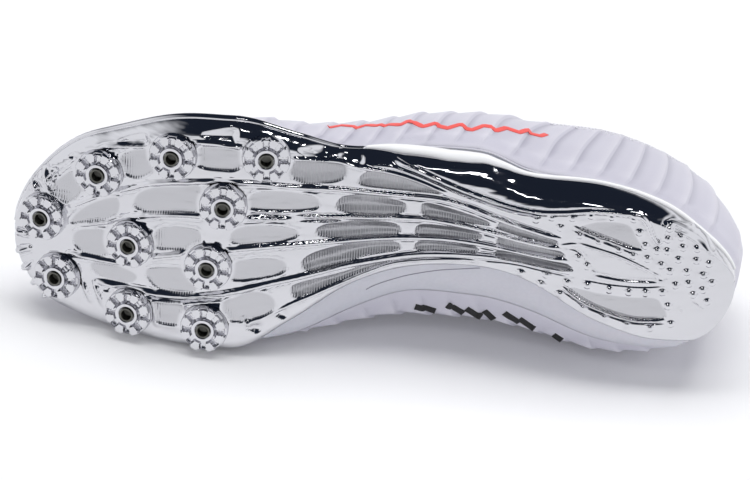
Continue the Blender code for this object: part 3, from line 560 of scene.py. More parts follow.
def chromed_nylon():
    """Mirror chrome over moulded nylon: clear reflections that waver a little every 4 to 5 mm, and
    satin pads whose fine cross ribs, 1 mm apart, spread the light. The satin pads are coloured
    darker than the polished chrome, fully in the deep troughs: in part the satin finish, in part
    a painted shade."""
    material, tree, shader = new_material("chromed_nylon", Metallic=1.0)
    place = add_node(tree, "Attribute", attribute_name="place").outputs["Vector"]
    satin_and_shade = add_node(tree, "Attribute", attribute_name="satin_and_shade").outputs["Fac"]
    drawn = add_node(tree, "VectorMath", {0: place, 1: (0.3, 1.0, 1.0)}, operation="MULTIPLY")
    grain = add_node(tree, "TexNoise", {"Vector": drawn.outputs[0], "Scale": 0.22, "Detail": 2.0})
    # the satin share darkens the colour: in part the satin finish, in part a painted shade on the deep
    # troughs
    colour = add_node(tree, "Mix", {"Factor": satin_and_shade, 6: srgb("#D2D2D6"), 7: srgb("#ABABAF")},
                      data_type="RGBA")
    rough = add_node(tree, "MapRange", {"Value": satin_and_shade, "To Min": 0.03, "To Max": 0.26})
    spread = add_node(tree, "Math", {0: grain.outputs["Fac"], 1: 0.06, 2: rough.outputs[0]},
                      operation="MULTIPLY_ADD")
    ribs = add_node(tree, "TexWave", {"Vector": place, "Scale": BAND_SCALE / RIB_PITCH,
                                      "Distortion": 0.25}, wave_type="BANDS", bands_direction="X")
    shown = add_node(tree, "Math", {0: ribs.outputs["Fac"], 1: satin_and_shade}, operation="MULTIPLY")
    fine = add_node(tree, "Bump", {"Height": shown.outputs[0], "Strength": 0.8, "Distance": 0.0002})
    waves = add_node(tree, "Bump", {"Height": grain.outputs["Fac"], "Strength": 0.7,
                                    "Distance": 0.0006, "Normal": fine.outputs[0]})
    set_inputs(shader, {"Base Color": colour.outputs[2], "Roughness": spread.outputs[0],
                        "Normal": waves.outputs[0]})
    return material


CHROME = chromed_nylon()
heel_end, toe_end, plate_lines = plate_curves()
plate_front = plate_grid(heel_end, toe_end, plate_lines)
plan = plate_front[..., :2].reshape(-1, 2) / MM
relief, satin_and_shade_share = plate_relief(plan, well_places())
outward = grid_normals(plate_front)
if outward[PLATE_ALONG // 2, PLATE_ACROSS // 2, 2] > 0:
    outward = -outward
edge_fade = soft_step(np.minimum(np.arange(PLATE_ALONG), np.arange(PLATE_ALONG)[::-1]) / EDGE_FADE)
lifted = plate_front + outward * (relief.reshape(PLATE_ALONG, PLATE_ACROSS, 1)
                                  * edge_fade[:, None, None] * MM)
closed = np.concatenate([lifted, plate_back(plate_front, plate_lines)], axis=1)
plate_mesh = mesh_from_grid("outsole_plate_chromed", as_it_lies(closed), closed_round=True)
bm = bmesh.new()
bm.from_mesh(plate_mesh)
bm.verts.ensure_lookup_table()
width = closed.shape[1]
bm.faces.new([bm.verts[index] for index in range(width)])
bm.faces.new([bm.verts[index] for index in range(len(bm.verts) - width, len(bm.verts))])
bm.to_mesh(plate_mesh)
bm.free()
place_values = np.zeros((PLATE_ALONG, width, 3))
place_values[..., :2] = closed[..., :2] / MM
plate_mesh.attributes.new("place", "FLOAT_VECTOR", "POINT").data.foreach_set(
    "vector", place_values.ravel())
satin_and_shade_values = np.zeros((PLATE_ALONG, width))
satin_and_shade_values[:, :PLATE_ACROSS] = satin_and_shade_share.reshape(PLATE_ALONG, PLATE_ACROSS)
plate_mesh.attributes.new("satin_and_shade", "FLOAT", "POINT").data.foreach_set("value", satin_and_shade_values.ravel())
face_out(plate_mesh)
make_piece("outsole_plate_chromed", plate_mesh, CHROME, "chromed_plate", "outsole_plate")

# Spike wells: ten toothed seats, moulded with the plate and chromed with it. Each has a flat hub
# ring round its bore, eight square pockets that drain mud, and eight wedges between them that
# widen to the rim.
POCKETS = 8
POCKET_HALF = 1.15
POCKET_FLOOR = 1.2
POCKET_FROM = 4.6
POCKET_TO = 8.4
MOAT = 5.5                  # the pockets open into one groove round the hub, out to here
WEDGE_TOP = 3.5
HUB_TOP = 4.0
HUB_RADIUS = 4.75
HUB_STEP = 0.25             # the hub's face steps down round the bore,
HUB_STEP_RADIUS = 3.45      # from here in
WELL_BORE = 3.1
WELL_RIM_TOP = 1.9
WELL_RIM_FROM = 8.3
WELL_RIM_HALF = 1.65        # half width of the low rim outside each pocket
ROUND_FROM = 8.9            # the outside is rounded from here
WELL_RADIUS = 9.5
STEEP, GENTLE, FLARED = 0.3, 0.35, 0.4    # widths of the sloping flanks
WELL_TURNS = 192
RING_STOPS = (WELL_BORE, 4.9, 8.0, WELL_RADIUS)    # rings of corners lie evenly between these
RING_COUNTS = (9, 9, 16)
WELL_CREASE = radians(50)
WELD = 0.000001


def seat_frame(index):
    """Where a well stands: a matrix from its own axes, in mm with Z out of the plate. The axis is
    the direction round which the corners of its insert keep the most even distance."""
    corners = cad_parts[f"spike_insert_{index:02d}"].data.vertices
    points = np.array([vertex.co for vertex in corners])
    centre = points.mean(axis=0)
    directions = np.linalg.svd(points - centre, full_matrices=False)[2]
    uneven = [np.ptp(np.linalg.norm(np.cross(points - centre, axis), axis=1)) for axis in directions]
    axis = Vector(directions[np.argmin(uneven)])
    if axis.y > 0:
        axis = -axis
    reach = (points - centre) @ np.array(axis)
    foot = Vector(centre) + axis * float(reach.min())
    across = axis.cross(shoe_up).normalized()
    turn = Matrix((across, axis.cross(across), axis)).transposed().to_4x4()
    return Matrix.Translation(foot) @ turn @ Matrix.Scale(MM, 4)


def placed(points, matrix):
    """A grid of points, carried by a matrix."""
    turn = np.array(matrix.to_3x3())
    return points @ turn.T + np.array(matrix.translation)


def well_heights(radius, turn):
    """Height of a well's top over the plate, in mm, at each radius and angle."""
    pitch = 2 * pi / POCKETS
    off = (turn + pitch / 2) % pitch - pitch / 2
    sideways = abs(radius * np.sin(off))
    slot = np.maximum(soft_step((POCKET_HALF - sideways) / STEEP + 0.5),
                      soft_step((MOAT - radius) / STEEP))
    pocket = (slot * soft_step((radius - POCKET_FROM) / GENTLE)
              * soft_step((POCKET_TO - radius) / STEEP))
    rim = (soft_step((radius - WELL_RIM_FROM) / STEEP)
           * soft_step((WELL_RIM_HALF - sideways) / FLARED + 0.5))
    hub = soft_step((HUB_RADIUS - radius) / STEEP)
    top = np.full(radius.shape, WEDGE_TOP)
    for level, share in ((WELL_RIM_TOP, rim), (POCKET_FLOOR, pocket), (HUB_TOP, hub)):
        top += (level - top) * share
    top -= HUB_STEP * soft_step((HUB_STEP_RADIUS - radius) / GENTLE)
    outward = np.clip((radius - ROUND_FROM) / (WELL_RADIUS - ROUND_FROM), 0, 1)
    return top * np.sqrt(1 - outward ** 2)


well_radii = [WELL_BORE]
for start, end, count in zip(RING_STOPS, RING_STOPS[1:], RING_COUNTS):
    well_radii += list(np.linspace(start, end, count)[1:])
well_radii += [WELL_RADIUS, WELL_BORE]
well_turns = np.linspace(0, 2 * pi, WELL_TURNS, endpoint=False)
well_radius, well_turn = np.meshgrid(well_radii, well_turns, indexing="ij")
well_height = well_heights(well_radius, well_turn)
well_height[-2:] = 0.0
well_grid = np.stack([well_radius * np.cos(well_turn), well_radius * np.sin(well_turn), well_height],
                     axis=-1)
well_grid = np.concatenate([well_grid, well_grid[:1]])
for index in range(1, 11):
    well_mesh = mesh_from_grid(f"spike_well_{index:02d}_cast", placed(well_grid, seat_frame(index)),
                               True)
    face_out(well_mesh, WELD)
    well_mesh.set_sharp_from_angle(angle=WELL_CREASE)
    make_piece(f"spike_well_{index:02d}_chromed", well_mesh, CHROME, "chromed_plate",
               f"spike_well_{index:02d}")

# Threaded inserts: turned steel bushes, blackened, pressed into the wells. The thread for the
# spike's stud shows as bright and dark turns down the bore.
THREAD_PITCH = 0.8
THREAD_DEPTH = 0.22
BORE_RADIUS = 2.0
BORE_HEIGHTS = np.linspace(4.15, 0.5, 42)
BUSH_OUTSIDE = ((2.8, 0.0), (2.8, 4.15), (2.65, 4.3), (2.25, 4.3))    # radius and height
BUSH_FLOOR = ((1.9, 0.4), (0.0, 0.4), (0.0, 0.0))
BUSH_TURNS = 48
BUSH_CREASE = radians(40)


def blackened_steel():
    """Turned steel with a thin black oxide: dark, with a warm grey gleam on each thread and stains
    about 1 mm wide."""
    material, tree, shader = new_material("blackened_steel", Metallic=1.0)
    place = add_node(tree, "TexCoord").outputs["Object"]
    stain = add_node(tree, "TexNoise", {"Vector": place, "Scale": 900.0, "Detail": 4.0})
    colour = add_node(tree, "Mix", {"Factor": stain.outputs["Fac"], 6: srgb("#4A4A46"),
                                    7: srgb("#7A7A74")}, data_type="RGBA")
    rough = add_node(tree, "MapRange", {"Value": stain.outputs["Fac"], "To Min": 0.22,
                                        "To Max": 0.42})
    set_inputs(shader, {"Base Color": colour.outputs[2], "Roughness": rough.outputs[0]})
    return material


STEEL = blackened_steel()
bush_grid = []
for turn in np.linspace(0, 2 * pi, BUSH_TURNS, endpoint=False):
    phases = (BORE_HEIGHTS / THREAD_PITCH - turn / (2 * pi)) % 1
    bore = zip(BORE_RADIUS + THREAD_DEPTH * abs(2 * phases - 1), BORE_HEIGHTS)
    profile = (*BUSH_OUTSIDE, *bore, *BUSH_FLOOR, BUSH_OUTSIDE[0])
    bush_grid.append([(radius * cos(turn), radius * sin(turn), z) for radius, z in profile])
bush_grid = np.array(bush_grid).transpose(1, 0, 2)
for index in range(1, 11):
    bush_mesh = mesh_from_grid("bush", placed(bush_grid, seat_frame(index)), True)
    face_out(bush_mesh, WELD, slivers=True)
    bush_mesh.set_sharp_from_angle(angle=BUSH_CREASE)
    make_piece(f"spike_insert_{index:02d}_threaded", bush_mesh, STEEL, "threaded_steel",
               f"spike_insert_{index:02d}")

# Upper: one shell of thin moulded synthetic, 1.6 mm, whose overlapping scales lean back over the
# foot. It is white with a cool cast and a satin skin. Inside it has a thin knitted lining.
COURSE = 0.001              # the lining's courses, in metres
ROUNDING = 2                # levels of subdivision
SCALE_CREASE = radians(14)  # the scales' edges stay sharp from here
CORE_PLACES = (0.03, 0.15, 0.25)          # a line through the foot, in metres: faces that look
CORE_HEIGHTS = (0.045, 0.030, 0.028)      # towards it are the lining's


def refined(node, name, crease_from):
    """A copy of a node with its flat facets rounded out, keeping its form and its sharp edges."""
    bm = bmesh.new()
    bm.from_mesh(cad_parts[node].data)
    bmesh.ops.remove_doubles(bm, verts=bm.verts, dist=WELD)
    bmesh.ops.join_triangles(bm, faces=bm.faces, angle_face_threshold=pi / 4,
                             angle_shape_threshold=pi)
    bmesh.ops.recalc_face_normals(bm, faces=bm.faces)
    crease = bm.edges.layers.float.new("crease_edge")
    for edge in bm.edges:
        if edge.is_manifold and edge.calc_face_angle() > crease_from:
            edge[crease] = 1.0
    mesh = bpy.data.meshes.new(name)
    bm.to_mesh(mesh)
    bm.free()
    rough = bpy.data.objects.new(name, mesh)
    bpy.context.scene.collection.objects.link(rough)
    rounding = rough.modifiers.new("rounding", "SUBSURF")
    rounding.levels = rounding.render_levels = ROUNDING
    graph = bpy.context.evaluated_depsgraph_get()
    fine = bpy.data.meshes.new_from_object(rough.evaluated_get(graph))
    bpy.data.objects.remove(rough)
    fine.name = name
    fine.shade_smooth()
    return fine


def moulded_skin():
    """Thin polyurethane skin, satin: a cool white with a faint pearl, and a grain that is only felt
    in the highlights, drawn 0.6 mm wide so that it shows. The scales' edges carry a painted
    highlight and their creases a painted shade, both taken from the mesh's pointiness."""
    material, tree, shader = new_material("moulded_polyurethane", IOR=1.5, Coat_Weight=0.15,
                                          Coat_Roughness=0.3)
    place = add_node(tree, "TexCoord").outputs["Object"]
    cast = add_node(tree, "TexNoise", {"Vector": place, "Scale": 26.0, "Detail": 2.0})
    colour = add_node(tree, "Mix", {"Factor": cast.outputs["Fac"], 6: srgb("#D6D4DD"),
                                    7: srgb("#DEDCE5")}, data_type="RGBA")
    # painted highlight and painted shade: convex scale edges are coloured lighter, concave creases
    # darker, and the multiply lays this on the skin's colour
    bend = add_node(tree, "NewGeometry").outputs["Pointiness"]
    crease = add_node(tree, "ValToRGB", {"Fac": bend})
    stops = crease.color_ramp.elements
    stops[0].position, stops[0].color = 0.44, srgb("#ACABB7")
    stops[1].position, stops[1].color = 0.56, srgb("#FFFFFF")
    for flat in (0.495, 0.505):
        stops.new(flat).color = srgb("#EAEAEE")
    painted_edge_light_and_shade = add_node(tree, "Mix", {"Factor": 1.0, 6: colour.outputs[2], 7: crease.outputs["Color"]},
                      data_type="RGBA", blend_type="MULTIPLY")
    grain = add_node(tree, "TexVoronoi", {"Vector": place, "Scale": 1600.0})
    rough = add_node(tree, "MapRange", {"Value": grain.outputs["Distance"], "To Min": 0.36,
                                        "To Max": 0.46})
    bump = add_node(tree, "Bump", {"Height": grain.outputs["Distance"], "Strength": 0.12,
                                   "Distance": 0.0002})
    set_inputs(shader, {"Base Color": painted_edge_light_and_shade.outputs[2], "Roughness": rough.outputs[0],
                        "Normal": bump.outputs[0]})
    return material


def knitted_lining():
    """Thin polyester knit, drawn with 1 mm courses so that they show: soft and light grey."""
    material, tree, shader = new_material("polyester_knit", Sheen_Weight=0.3, Roughness=0.85)
    place = add_node(tree, "TexCoord").outputs["Object"]
    courses = add_node(tree, "TexWave", {"Vector": place, "Scale": BAND_SCALE / COURSE,
                                         "Distortion": 2.0, "Detail": 2.0, "Detail Scale": 3.0},
                       bands_direction="DIAGONAL")
    colour = add_node(tree, "Mix", {"Factor": courses.outputs["Fac"], 6: srgb("#CBCAD2"),
                                    7: srgb("#DAD9DF")}, data_type="RGBA")
    bump = add_node(tree, "Bump", {"Height": courses.outputs["Fac"], "Strength": 0.3,
                                   "Distance": 0.0002})
    set_inputs(shader, {"Base Color": colour.outputs[2], "Normal": bump.outputs[0]})
    return material


SKIN = moulded_skin()
LINING = knitted_lining()
upper_mesh = refined("upper", "upper_moulded", SCALE_CREASE)
face_centres = np.empty(len(upper_mesh.polygons) * 3)
face_normals = np.empty(len(upper_mesh.polygons) * 3)
upper_mesh.polygons.foreach_get("center", face_centres)
upper_mesh.polygons.foreach_get("normal", face_normals)
face_centres = in_shoe_axes(face_centres.reshape(-1, 3))
face_normals = face_normals.reshape(-1, 3) @ TURN
core = np.stack([np.clip(face_centres[:, 0], 0.035, CORE_PLACES[-1]), np.zeros(len(face_centres)),
                 np.interp(face_centres[:, 0], CORE_PLACES, CORE_HEIGHTS)], axis=-1)
lined = ((face_centres - core) * face_normals).sum(axis=1) < 0
make_piece("upper_moulded", upper_mesh, SKIN, "white_upper", "upper")
upper_mesh.materials.append(LINING)
upper_mesh.polygons.foreach_set("material_index", lined.astype(int))

# Print: a plain wavy band in coral along the outer side, and short slanted dashes in black along
# the inner side. Both are thin films of rubber, pressed on to the skin.
WAVE_LINE = ((164, 44.3, 33.4), (155.4, 45.4, 33.6), (147.8, 45.4, 34.6), (139.8, 46.4, 33.6),
             (132.1, 48.1, 33.2), (124.2, 48.3, 31.4), (116.6, 48.3, 31.4), (108.7, 47.9, 31.2),
             (101, 48, 32.2), (93.2, 46.6, 34.6), (85.6, 44.8, 38), (79, 43, 41))
WAVE_LENGTH = 9.6
WAVE_HEIGHT = 1.5
WAVE_BAND = 2.4             # width of the band
WAVE_FILM = 0.5
WAVE_LIFT = 0.15
DASHES = (((127.1, -25.9, 23.4), (119, -27.6, 24.6)), ((114.5, -23.8, 22.1), (108, -27.5, 23.6)),
          ((107, -25, 21.9), (101, -28.6, 23.4)), ((100, -25.6, 21.5), (96, -29, 23)),
          ((92, -24.8, 19.7), (86, -29, 21)), ((86, -27, 19.6), (80, -31, 20)),
          ((72.5, -33, 18.9), (69, -35, 19.3)))
DASH_BAND = 3.2
DASH_FILM = 0.4
DASH_LIFT = 0.1
BAR_SIDES = 12              # corners round a bar


def surface_of(mesh, chosen):
    """The chosen faces of a mesh, to be searched for their nearest place in mm."""
    corners = in_shoe_axes([vertex.co for vertex in mesh.vertices]) / MM
    faces = [tuple(face.vertices) for face, keep in zip(mesh.polygons, chosen) if keep]
    return BVHTree.FromPolygons(corners.tolist(), faces)


def laid_on(surface, points, lift):
    """Points in mm brought on to a surface and lifted off it, with its directions there."""
    found = [surface.find_nearest(Vector(point)) for point in points]
    normals = np.array([hit[1] for hit in found])
    return np.array([hit[0] for hit in found]) + normals * lift, normals


def unit(vectors):
    return vectors / np.linalg.norm(vectors, axis=-1, keepdims=True)


def across_surface(path, facing):
    """Direction that lies in the surface under a path, square to the path."""
    return np.cross(np.gradient(path, axis=0), facing)


def bar_along(name, path, across, width, thick, corner):
    """A bar along a path in mm, wide in the given direction. It is oval where corner is 1, and its
    corners are squarer the less that is."""
    ahead = unit(np.gradient(path, axis=0))
    side = unit(across - ahead * (across * ahead).sum(axis=1, keepdims=True))
    rise = np.cross(side, ahead)
    turns = np.linspace(0, 2 * pi, BAR_SIDES, endpoint=False)
    round_x = np.sign(np.cos(turns)) * abs(np.cos(turns)) ** corner / 2
    round_y = np.sign(np.sin(turns)) * abs(np.sin(turns)) ** corner / 2
    width = np.broadcast_to(width, len(path))[:, None, None]
    thick = np.broadcast_to(thick, len(path))[:, None, None]
    grid = (path[:, None] + side[:, None] * width * round_x[:, None]
            + rise[:, None] * thick * round_y[:, None])
    grid = np.concatenate([np.repeat(path[:1, None], BAR_SIDES, axis=1), grid,
                           np.repeat(path[-1:, None], BAR_SIDES, axis=1)])
    mesh = mesh_from_grid(name, as_it_lies(grid * MM), True)
    run = np.zeros(grid.shape)
    run[1:-1, :, 0] = length_along(path)[:, None]
    run[1:-1, :, 1] = width[..., 0] * round_x
    mesh.attributes.new("run", "FLOAT_VECTOR", "POINT").data.foreach_set("vector", run.ravel())
    face_out(mesh, WELD / 10)
    return mesh


def one_mesh(name, meshes):
    """Joins several meshes into one."""
    bm = bmesh.new()
    for mesh in meshes:
        bm.from_mesh(mesh)
    joined = bpy.data.meshes.new(name)
    bm.to_mesh(joined)
    bm.free()
    joined.shade_smooth()
    return joined


def print_and_painted_shade_film(name, code):
    """A thin rubber film, matt, in one colour that clouds a little every 2 mm. It draws the print,
    and also the eyelets' dark discs and the grey mould line, which are painted shade.
    """
    material, tree, shader = new_material(name, Roughness=0.5)
    place = add_node(tree, "TexCoord").outputs["Object"]
    cloud = add_node(tree, "TexNoise", {"Vector": place, "Scale": 500.0})
    value = add_node(tree, "MapRange", {"Value": cloud.outputs["Fac"], "To Min": 0.94,
                                        "To Max": 1.06})
    tone = add_node(tree, "HueSaturation", {"Color": srgb(code), "Value": value.outputs[0]})
    set_inputs(shader, {"Base Color": tone.outputs[0]})
    return material


skin = surface_of(upper_mesh, ~lined)
line, facing = laid_on(skin, smooth_outline(WAVE_LINE, False), 0.0)
wave = WAVE_HEIGHT * (2 * abs(2 * ((length_along(line) / WAVE_LENGTH) % 1) - 1) - 1)
line, facing = laid_on(skin, line + unit(across_surface(line, facing)) * wave[:, None],
                       WAVE_LIFT)
band = bar_along("wavy_print", line, across_surface(line, facing), WAVE_BAND, WAVE_FILM, 0.5)
make_piece("wavy_print", band, print_and_painted_shade_film("coral_rubber_film", "#F0635E"), None)
dashes = []
for start, end in DASHES:
    steps = np.linspace(0, 1, 12)[:, None]
    line, facing = laid_on(skin, np.array(start) * (1 - steps) + np.array(end) * steps,
                           DASH_LIFT)
    dashes.append(bar_along("dash", line, across_surface(line, facing), DASH_BAND, DASH_FILM, 0.4))
make_piece("slanted_print", one_mesh("slanted_print", dashes),
           print_and_painted_shade_film("black_rubber_film", "#101012"), None)

# Collar and throat: the upper's top edge is bound with a folded tape and stitched 3 mm below it.
COLLAR = ((187.8, 6.5, 51.6), (182.4, 12.4, 53.2), (175.3, 13.9, 55.8), (161.4, 16, 61.5),
          (145.2, 17.7, 67.6), (128, 19.4, 74), (112.7, 23.6, 74.6), (98.3, 29.4, 72.4),
          (82.4, 36.7, 65.6), (66.9, 37.2, 62.6), (51.7, 35.2, 62.1), (37, 28.5, 65.6),
          (22.9, 19.2, 68.6), (15.5, 10.4, 69.7), (10, -0.9, 70), (15.5, -12.7, 69.7),
          (22.9, -21.6, 68.6), (37, -29.8, 65.8), (51.7, -34.1, 63.1), (66.9, -33.7, 63.8),
          (82.4, -29.7, 67), (98.3, -18, 74.2), (112.7, -9.4, 76.1), (128, -4.3, 75.5),
          (145.2, -4, 69), (161.4, -2.2, 62.3), (175.3, -0.3, 56.3), (182.4, 0.9, 53.6))
TAPE_WIDE = 2.5             # the tape as it lies folded over the edge
TAPE_THICK = 1.3
TAPE_SUNK = 0.8
STITCH = 2.2
STITCH_PITCH = 3.2
STITCH_FROM_EDGE = 3.0
THREAD_WIDE = 0.5
THREAD_THICK = 0.45
SEAM_LIFT = 0.1


def woven_tape(name, code):
    """Polyester tape, woven in chevrons 1 mm wide, soft and matt."""
    material, tree, shader = new_material(name, Roughness=0.75, Sheen_Weight=0.2)
    run = add_node(tree, "Attribute", attribute_name="run").outputs["Vector"]
    folded = add_node(tree, "VectorMath", {0: run}, operation="ABSOLUTE").outputs[0]
    weave = add_node(tree, "TexWave", {"Vector": folded, "Scale": 0.45},
                     bands_direction="DIAGONAL")
    value = add_node(tree, "MapRange", {"Value": weave.outputs["Fac"], "To Min": 0.86,
                                        "To Max": 1.04})
    tone = add_node(tree, "HueSaturation", {"Color": srgb(code), "Value": value.outputs[0]})
    bump = add_node(tree, "Bump", {"Height": weave.outputs["Fac"], "Strength": 0.5,
                                   "Distance": 0.0002})
    set_inputs(shader, {"Base Color": tone.outputs[0], "Normal": bump.outputs[0]})
    return material


edge = np.vstack([smooth_outline(COLLAR, True), COLLAR[0]])
top, facing = laid_on(skin, edge, -TAPE_SUNK)
binding = bar_along("collar_binding", top, facing, TAPE_WIDE, TAPE_THICK, 0.8)
make_piece("collar_binding", binding, woven_tape("woven_polyester", "#DCDBE2"), "white_upper")
below = unit(np.cross(facing, np.gradient(top, axis=0)))
below *= -np.sign(below[:, 2:])
seam, facing = laid_on(skin, edge + below * STITCH_FROM_EDGE, SEAM_LIFT)
reach = length_along(seam)
stitches = []
for start in np.arange(0, reach[-1] - STITCH_PITCH, STITCH_PITCH):
    where = start + np.linspace(0, STITCH, 5)
    path = np.stack([np.interp(where, reach, seam[:, axis]) for axis in range(3)], axis=-1)
    outward = np.stack([np.interp(where, reach, facing[:, axis]) for axis in range(3)], axis=-1)
    stitches.append(bar_along("stitch", path, across_surface(path, outward), THREAD_WIDE,
                              THREAD_THICK, 1.0))
make_piece("collar_stitches", one_mesh("collar_stitches", stitches),
           woven_tape("polyester_thread", "#F0F0F4"), "white_upper")

# Eyelets and lace: six punched holes a side with a welded ring each, and one flat woven lace. It
# starts with a bar under the first holes, crosses over the tongue, dives under the far edge and
# comes up through the next hole. Its ends stop at the top holes.
HOLES = (((178.2, 19.5, 54.8), (168.1, 20.4, 58.5), (157.1, 21.4, 62.4), (145.3, 22.4, 66.5),
          (133, 23.6, 70.8), (121.2, 25.8, 72.6)),
         ((178.2, -5.8, 55.4), (168.1, -7.1, 59.3), (157.1, -8.3, 63.5), (145.3, -9.3, 67.8),
          (133, -9.3, 72.2), (121.2, -10.8, 73.8)))
EDGE_SHARE = 0.27           # the throat's edge, from a hole towards the one opposite
RING = (3.3, 1.9, 0.7)      # outer and inner radius of an eyelet's ring, and its thickness
DISC = (2.2, 0.0, 0.3)      # the dark disc, a painted shadow, that stands for the hole
RING_SUNK = 0.2
RING_ROUND = 0.3
LACE_WIDTH = 4.2
LACE_THICK = 1.0
NECK = 0.62                 # the lace's width in a hole, as a share of its own
TUCKED = 0.9                # its width where it slips under the throat's edge
FIRST_DIP = 2.4             # heights over the skin, or under it: below the first hole,
DIP = 2.2                   # below the others,
TUCK_DIP = 1.6              # below the throat's edge,
OUT_OF_HOLE = 0.9           # over a hole,
LACE_END = 0.5              # over the top hole, where the lace stops,
OVER_EDGE = 1.0             # over the throat's edge
CROSSING = (-0.3, 0.9)      # and halfway, for the lower and the upper strand
BAR_SAG = 0.3               # the lowest bar sags by this in its middle


def ring_mesh(centre, normal, outer, hole, thick):
    """A flat ring in mm that faces a direction, or a disc if it has no hole."""
    centre = centre - normal * RING_SUNK
    across = unit(np.cross(normal, (0.0, 1.0, 0.0)))
    along = np.cross(normal, across)
    turns = np.linspace(0, 2 * pi, 33)[:, None]
    spoke = across * np.cos(turns) + along * np.sin(turns)
    profile = ((outer, 0), (outer, thick * 0.6), (outer - RING_ROUND, thick),
               (hole + RING_ROUND, thick), (hole, thick * 0.6), (hole, 0))
    grid = np.stack([centre + spoke * out + normal * up for out, up in profile], axis=1)
    mesh = mesh_from_grid("ring", as_it_lies(grid * MM), True)
    face_out(mesh)
    return mesh


holes, hole_facing = zip(*[laid_on(skin, row, 0.0) for row in HOLES])
rings, painted_shadow_discs = [], []
for row, directions in zip(holes, hole_facing):
    for place, direction in zip(row, directions):
        rings.append(ring_mesh(place, direction, *RING))
        painted_shadow_discs.append(ring_mesh(place, direction, *DISC))
make_piece("eyelet_rings", one_mesh("eyelet_rings", rings), SKIN, "white_upper")
# each hole is drawn as a near-black disc: a painted shadow where only shade is
make_piece("eyelet_holes", one_mesh("eyelet_holes", painted_shadow_discs),
           print_and_painted_shade_film("eyelet_painted_shadow", "#0C0C0E"), None)
laces = []
for side, crossing in enumerate(CROSSING):
    path = [(*((holes[0][0] + holes[1][0]) / 2 - (0, 0, BAR_SAG)), 1),
            (*(holes[side][0] - hole_facing[side][0] * FIRST_DIP), NECK),
            (*(holes[side][0] + hole_facing[side][0] * OUT_OF_HOLE), NECK)]
    for row in range(5):
        far = 1 - side
        here, there = holes[side][row], holes[far][row + 1]
        up_here, up_there = hole_facing[side][row], hole_facing[far][row + 1]
        leave = here + (holes[far][row] - here) * EDGE_SHARE
        arrive = there + (holes[side][row + 1] - there) * EDGE_SHARE
        path += [(*(leave + up_here * OVER_EDGE), 1),
                 (*((leave + arrive) / 2 + (up_here + up_there) / 2 * crossing), 1),
                 (*(arrive - up_there * TUCK_DIP), TUCKED),
                 (*(there - up_there * DIP), NECK),
                 (*(there + up_there * (OUT_OF_HOLE if row < 4 else LACE_END)), NECK)]
        side = far
    path = smooth_outline(path, False, spacing=0.7)
    width = path[:, 3]
    laces.append(bar_along("strand", path[:, :3], np.array((1.0, 0.0, 0.0)), LACE_WIDTH * width,
                           LACE_THICK * (1.5 - 0.5 * width), 0.6))
make_piece("lace_woven", one_mesh("lace_woven", laces), woven_tape("lace_polyester", "#E9E9EE"),
           "lace_polyester", "lace")

# Midsole: a thin layer of injected foam, glued between plate and upper. It shows round the heel and
# along the inner side, with the line of its mould. A glossy rim tops the plate's side wall as far as
# the ball. From there round the toe the plate's own edge is rolled and chromed.
RIM_PLACES = (3.5, 12, 30, 50, 85, 95, 108, 134, 142, 150)
RIM_THICK = (1.6, 2.6, 2.6, 1.8, 1.9, 3.0, 4.4, 4.4, 2.8, 0.8)
RIM_RISE = (0.25, 0.25, 0.25, 0.25, 0.25, 0.0, -0.3, -0.3, 0.0, 0.25)    # share of its thickness
BEAD_PLACES = (148, 165, 200, 240, 265, 284)    # the plate's rolled edge beyond the rim
BEAD_THICK = (1.4, 2.2, 3.0, 2.8, 2.0, 1.2)
BEAD_UNDER_RIM = 2          # how far the bead's end reaches under the rim's
MIDSOLE_CREASE = radians(38)
UPWARD = np.array((0.0, 0.0, 1.0))
MOULD_LINE = ((146, -15, 13.6), (142.6, -12.8, 13.3), (133, -8.6, 13), (125, -6, 12.2),
              (117.1, -3.8, 11.2), (109.7, -2.4, 10), (102, -0.9, 8.6))


def foam_skin():
    """Injection-moulded foam: a matt white skin with the faint pebble, 1.4 mm wide, of the foam
    below it. Its white is coloured greyer than the upper's and the rim's, a painted shade for
    the shoe's underside."""
    material, tree, shader = new_material("moulded_foam", Roughness=0.55, Subsurface_Weight=0.04,
                                          IOR=1.45)
    place = add_node(tree, "TexCoord").outputs["Object"]
    pebble = add_node(tree, "TexNoise", {"Vector": place, "Scale": 700.0, "Detail": 3.0})
    # painted shade: the white foam is coloured grey, as if in the shade under the shoe
    colour = add_node(tree, "Mix", {"Factor": pebble.outputs["Fac"], 6: srgb("#C6C5CE"),
                                    7: srgb("#D0CFD7")}, data_type="RGBA")
    bump = add_node(tree, "Bump", {"Height": pebble.outputs["Fac"], "Strength": 0.15,
                                   "Distance": 0.0002})
    set_inputs(shader, {"Base Color": colour.outputs[2], "Normal": bump.outputs[0]})
    return material


def gloss_skin():
    """The rim's glossy skin of clear-coated white, which shines over the dark side wall."""
    material, tree, shader = new_material("glossy_foam_skin", Roughness=0.25, Coat_Weight=0.6,
                                          Coat_Roughness=0.05)
    place = add_node(tree, "TexCoord").outputs["Object"]
    cast = add_node(tree, "TexNoise", {"Vector": place, "Scale": 40.0})
    colour = add_node(tree, "Mix", {"Factor": cast.outputs["Fac"], 6: srgb("#F4F4F6"),
                                    7: srgb("#FFFFFF")}, data_type="RGBA")
    set_inputs(shader, {"Base Color": colour.outputs[2]})
    return material


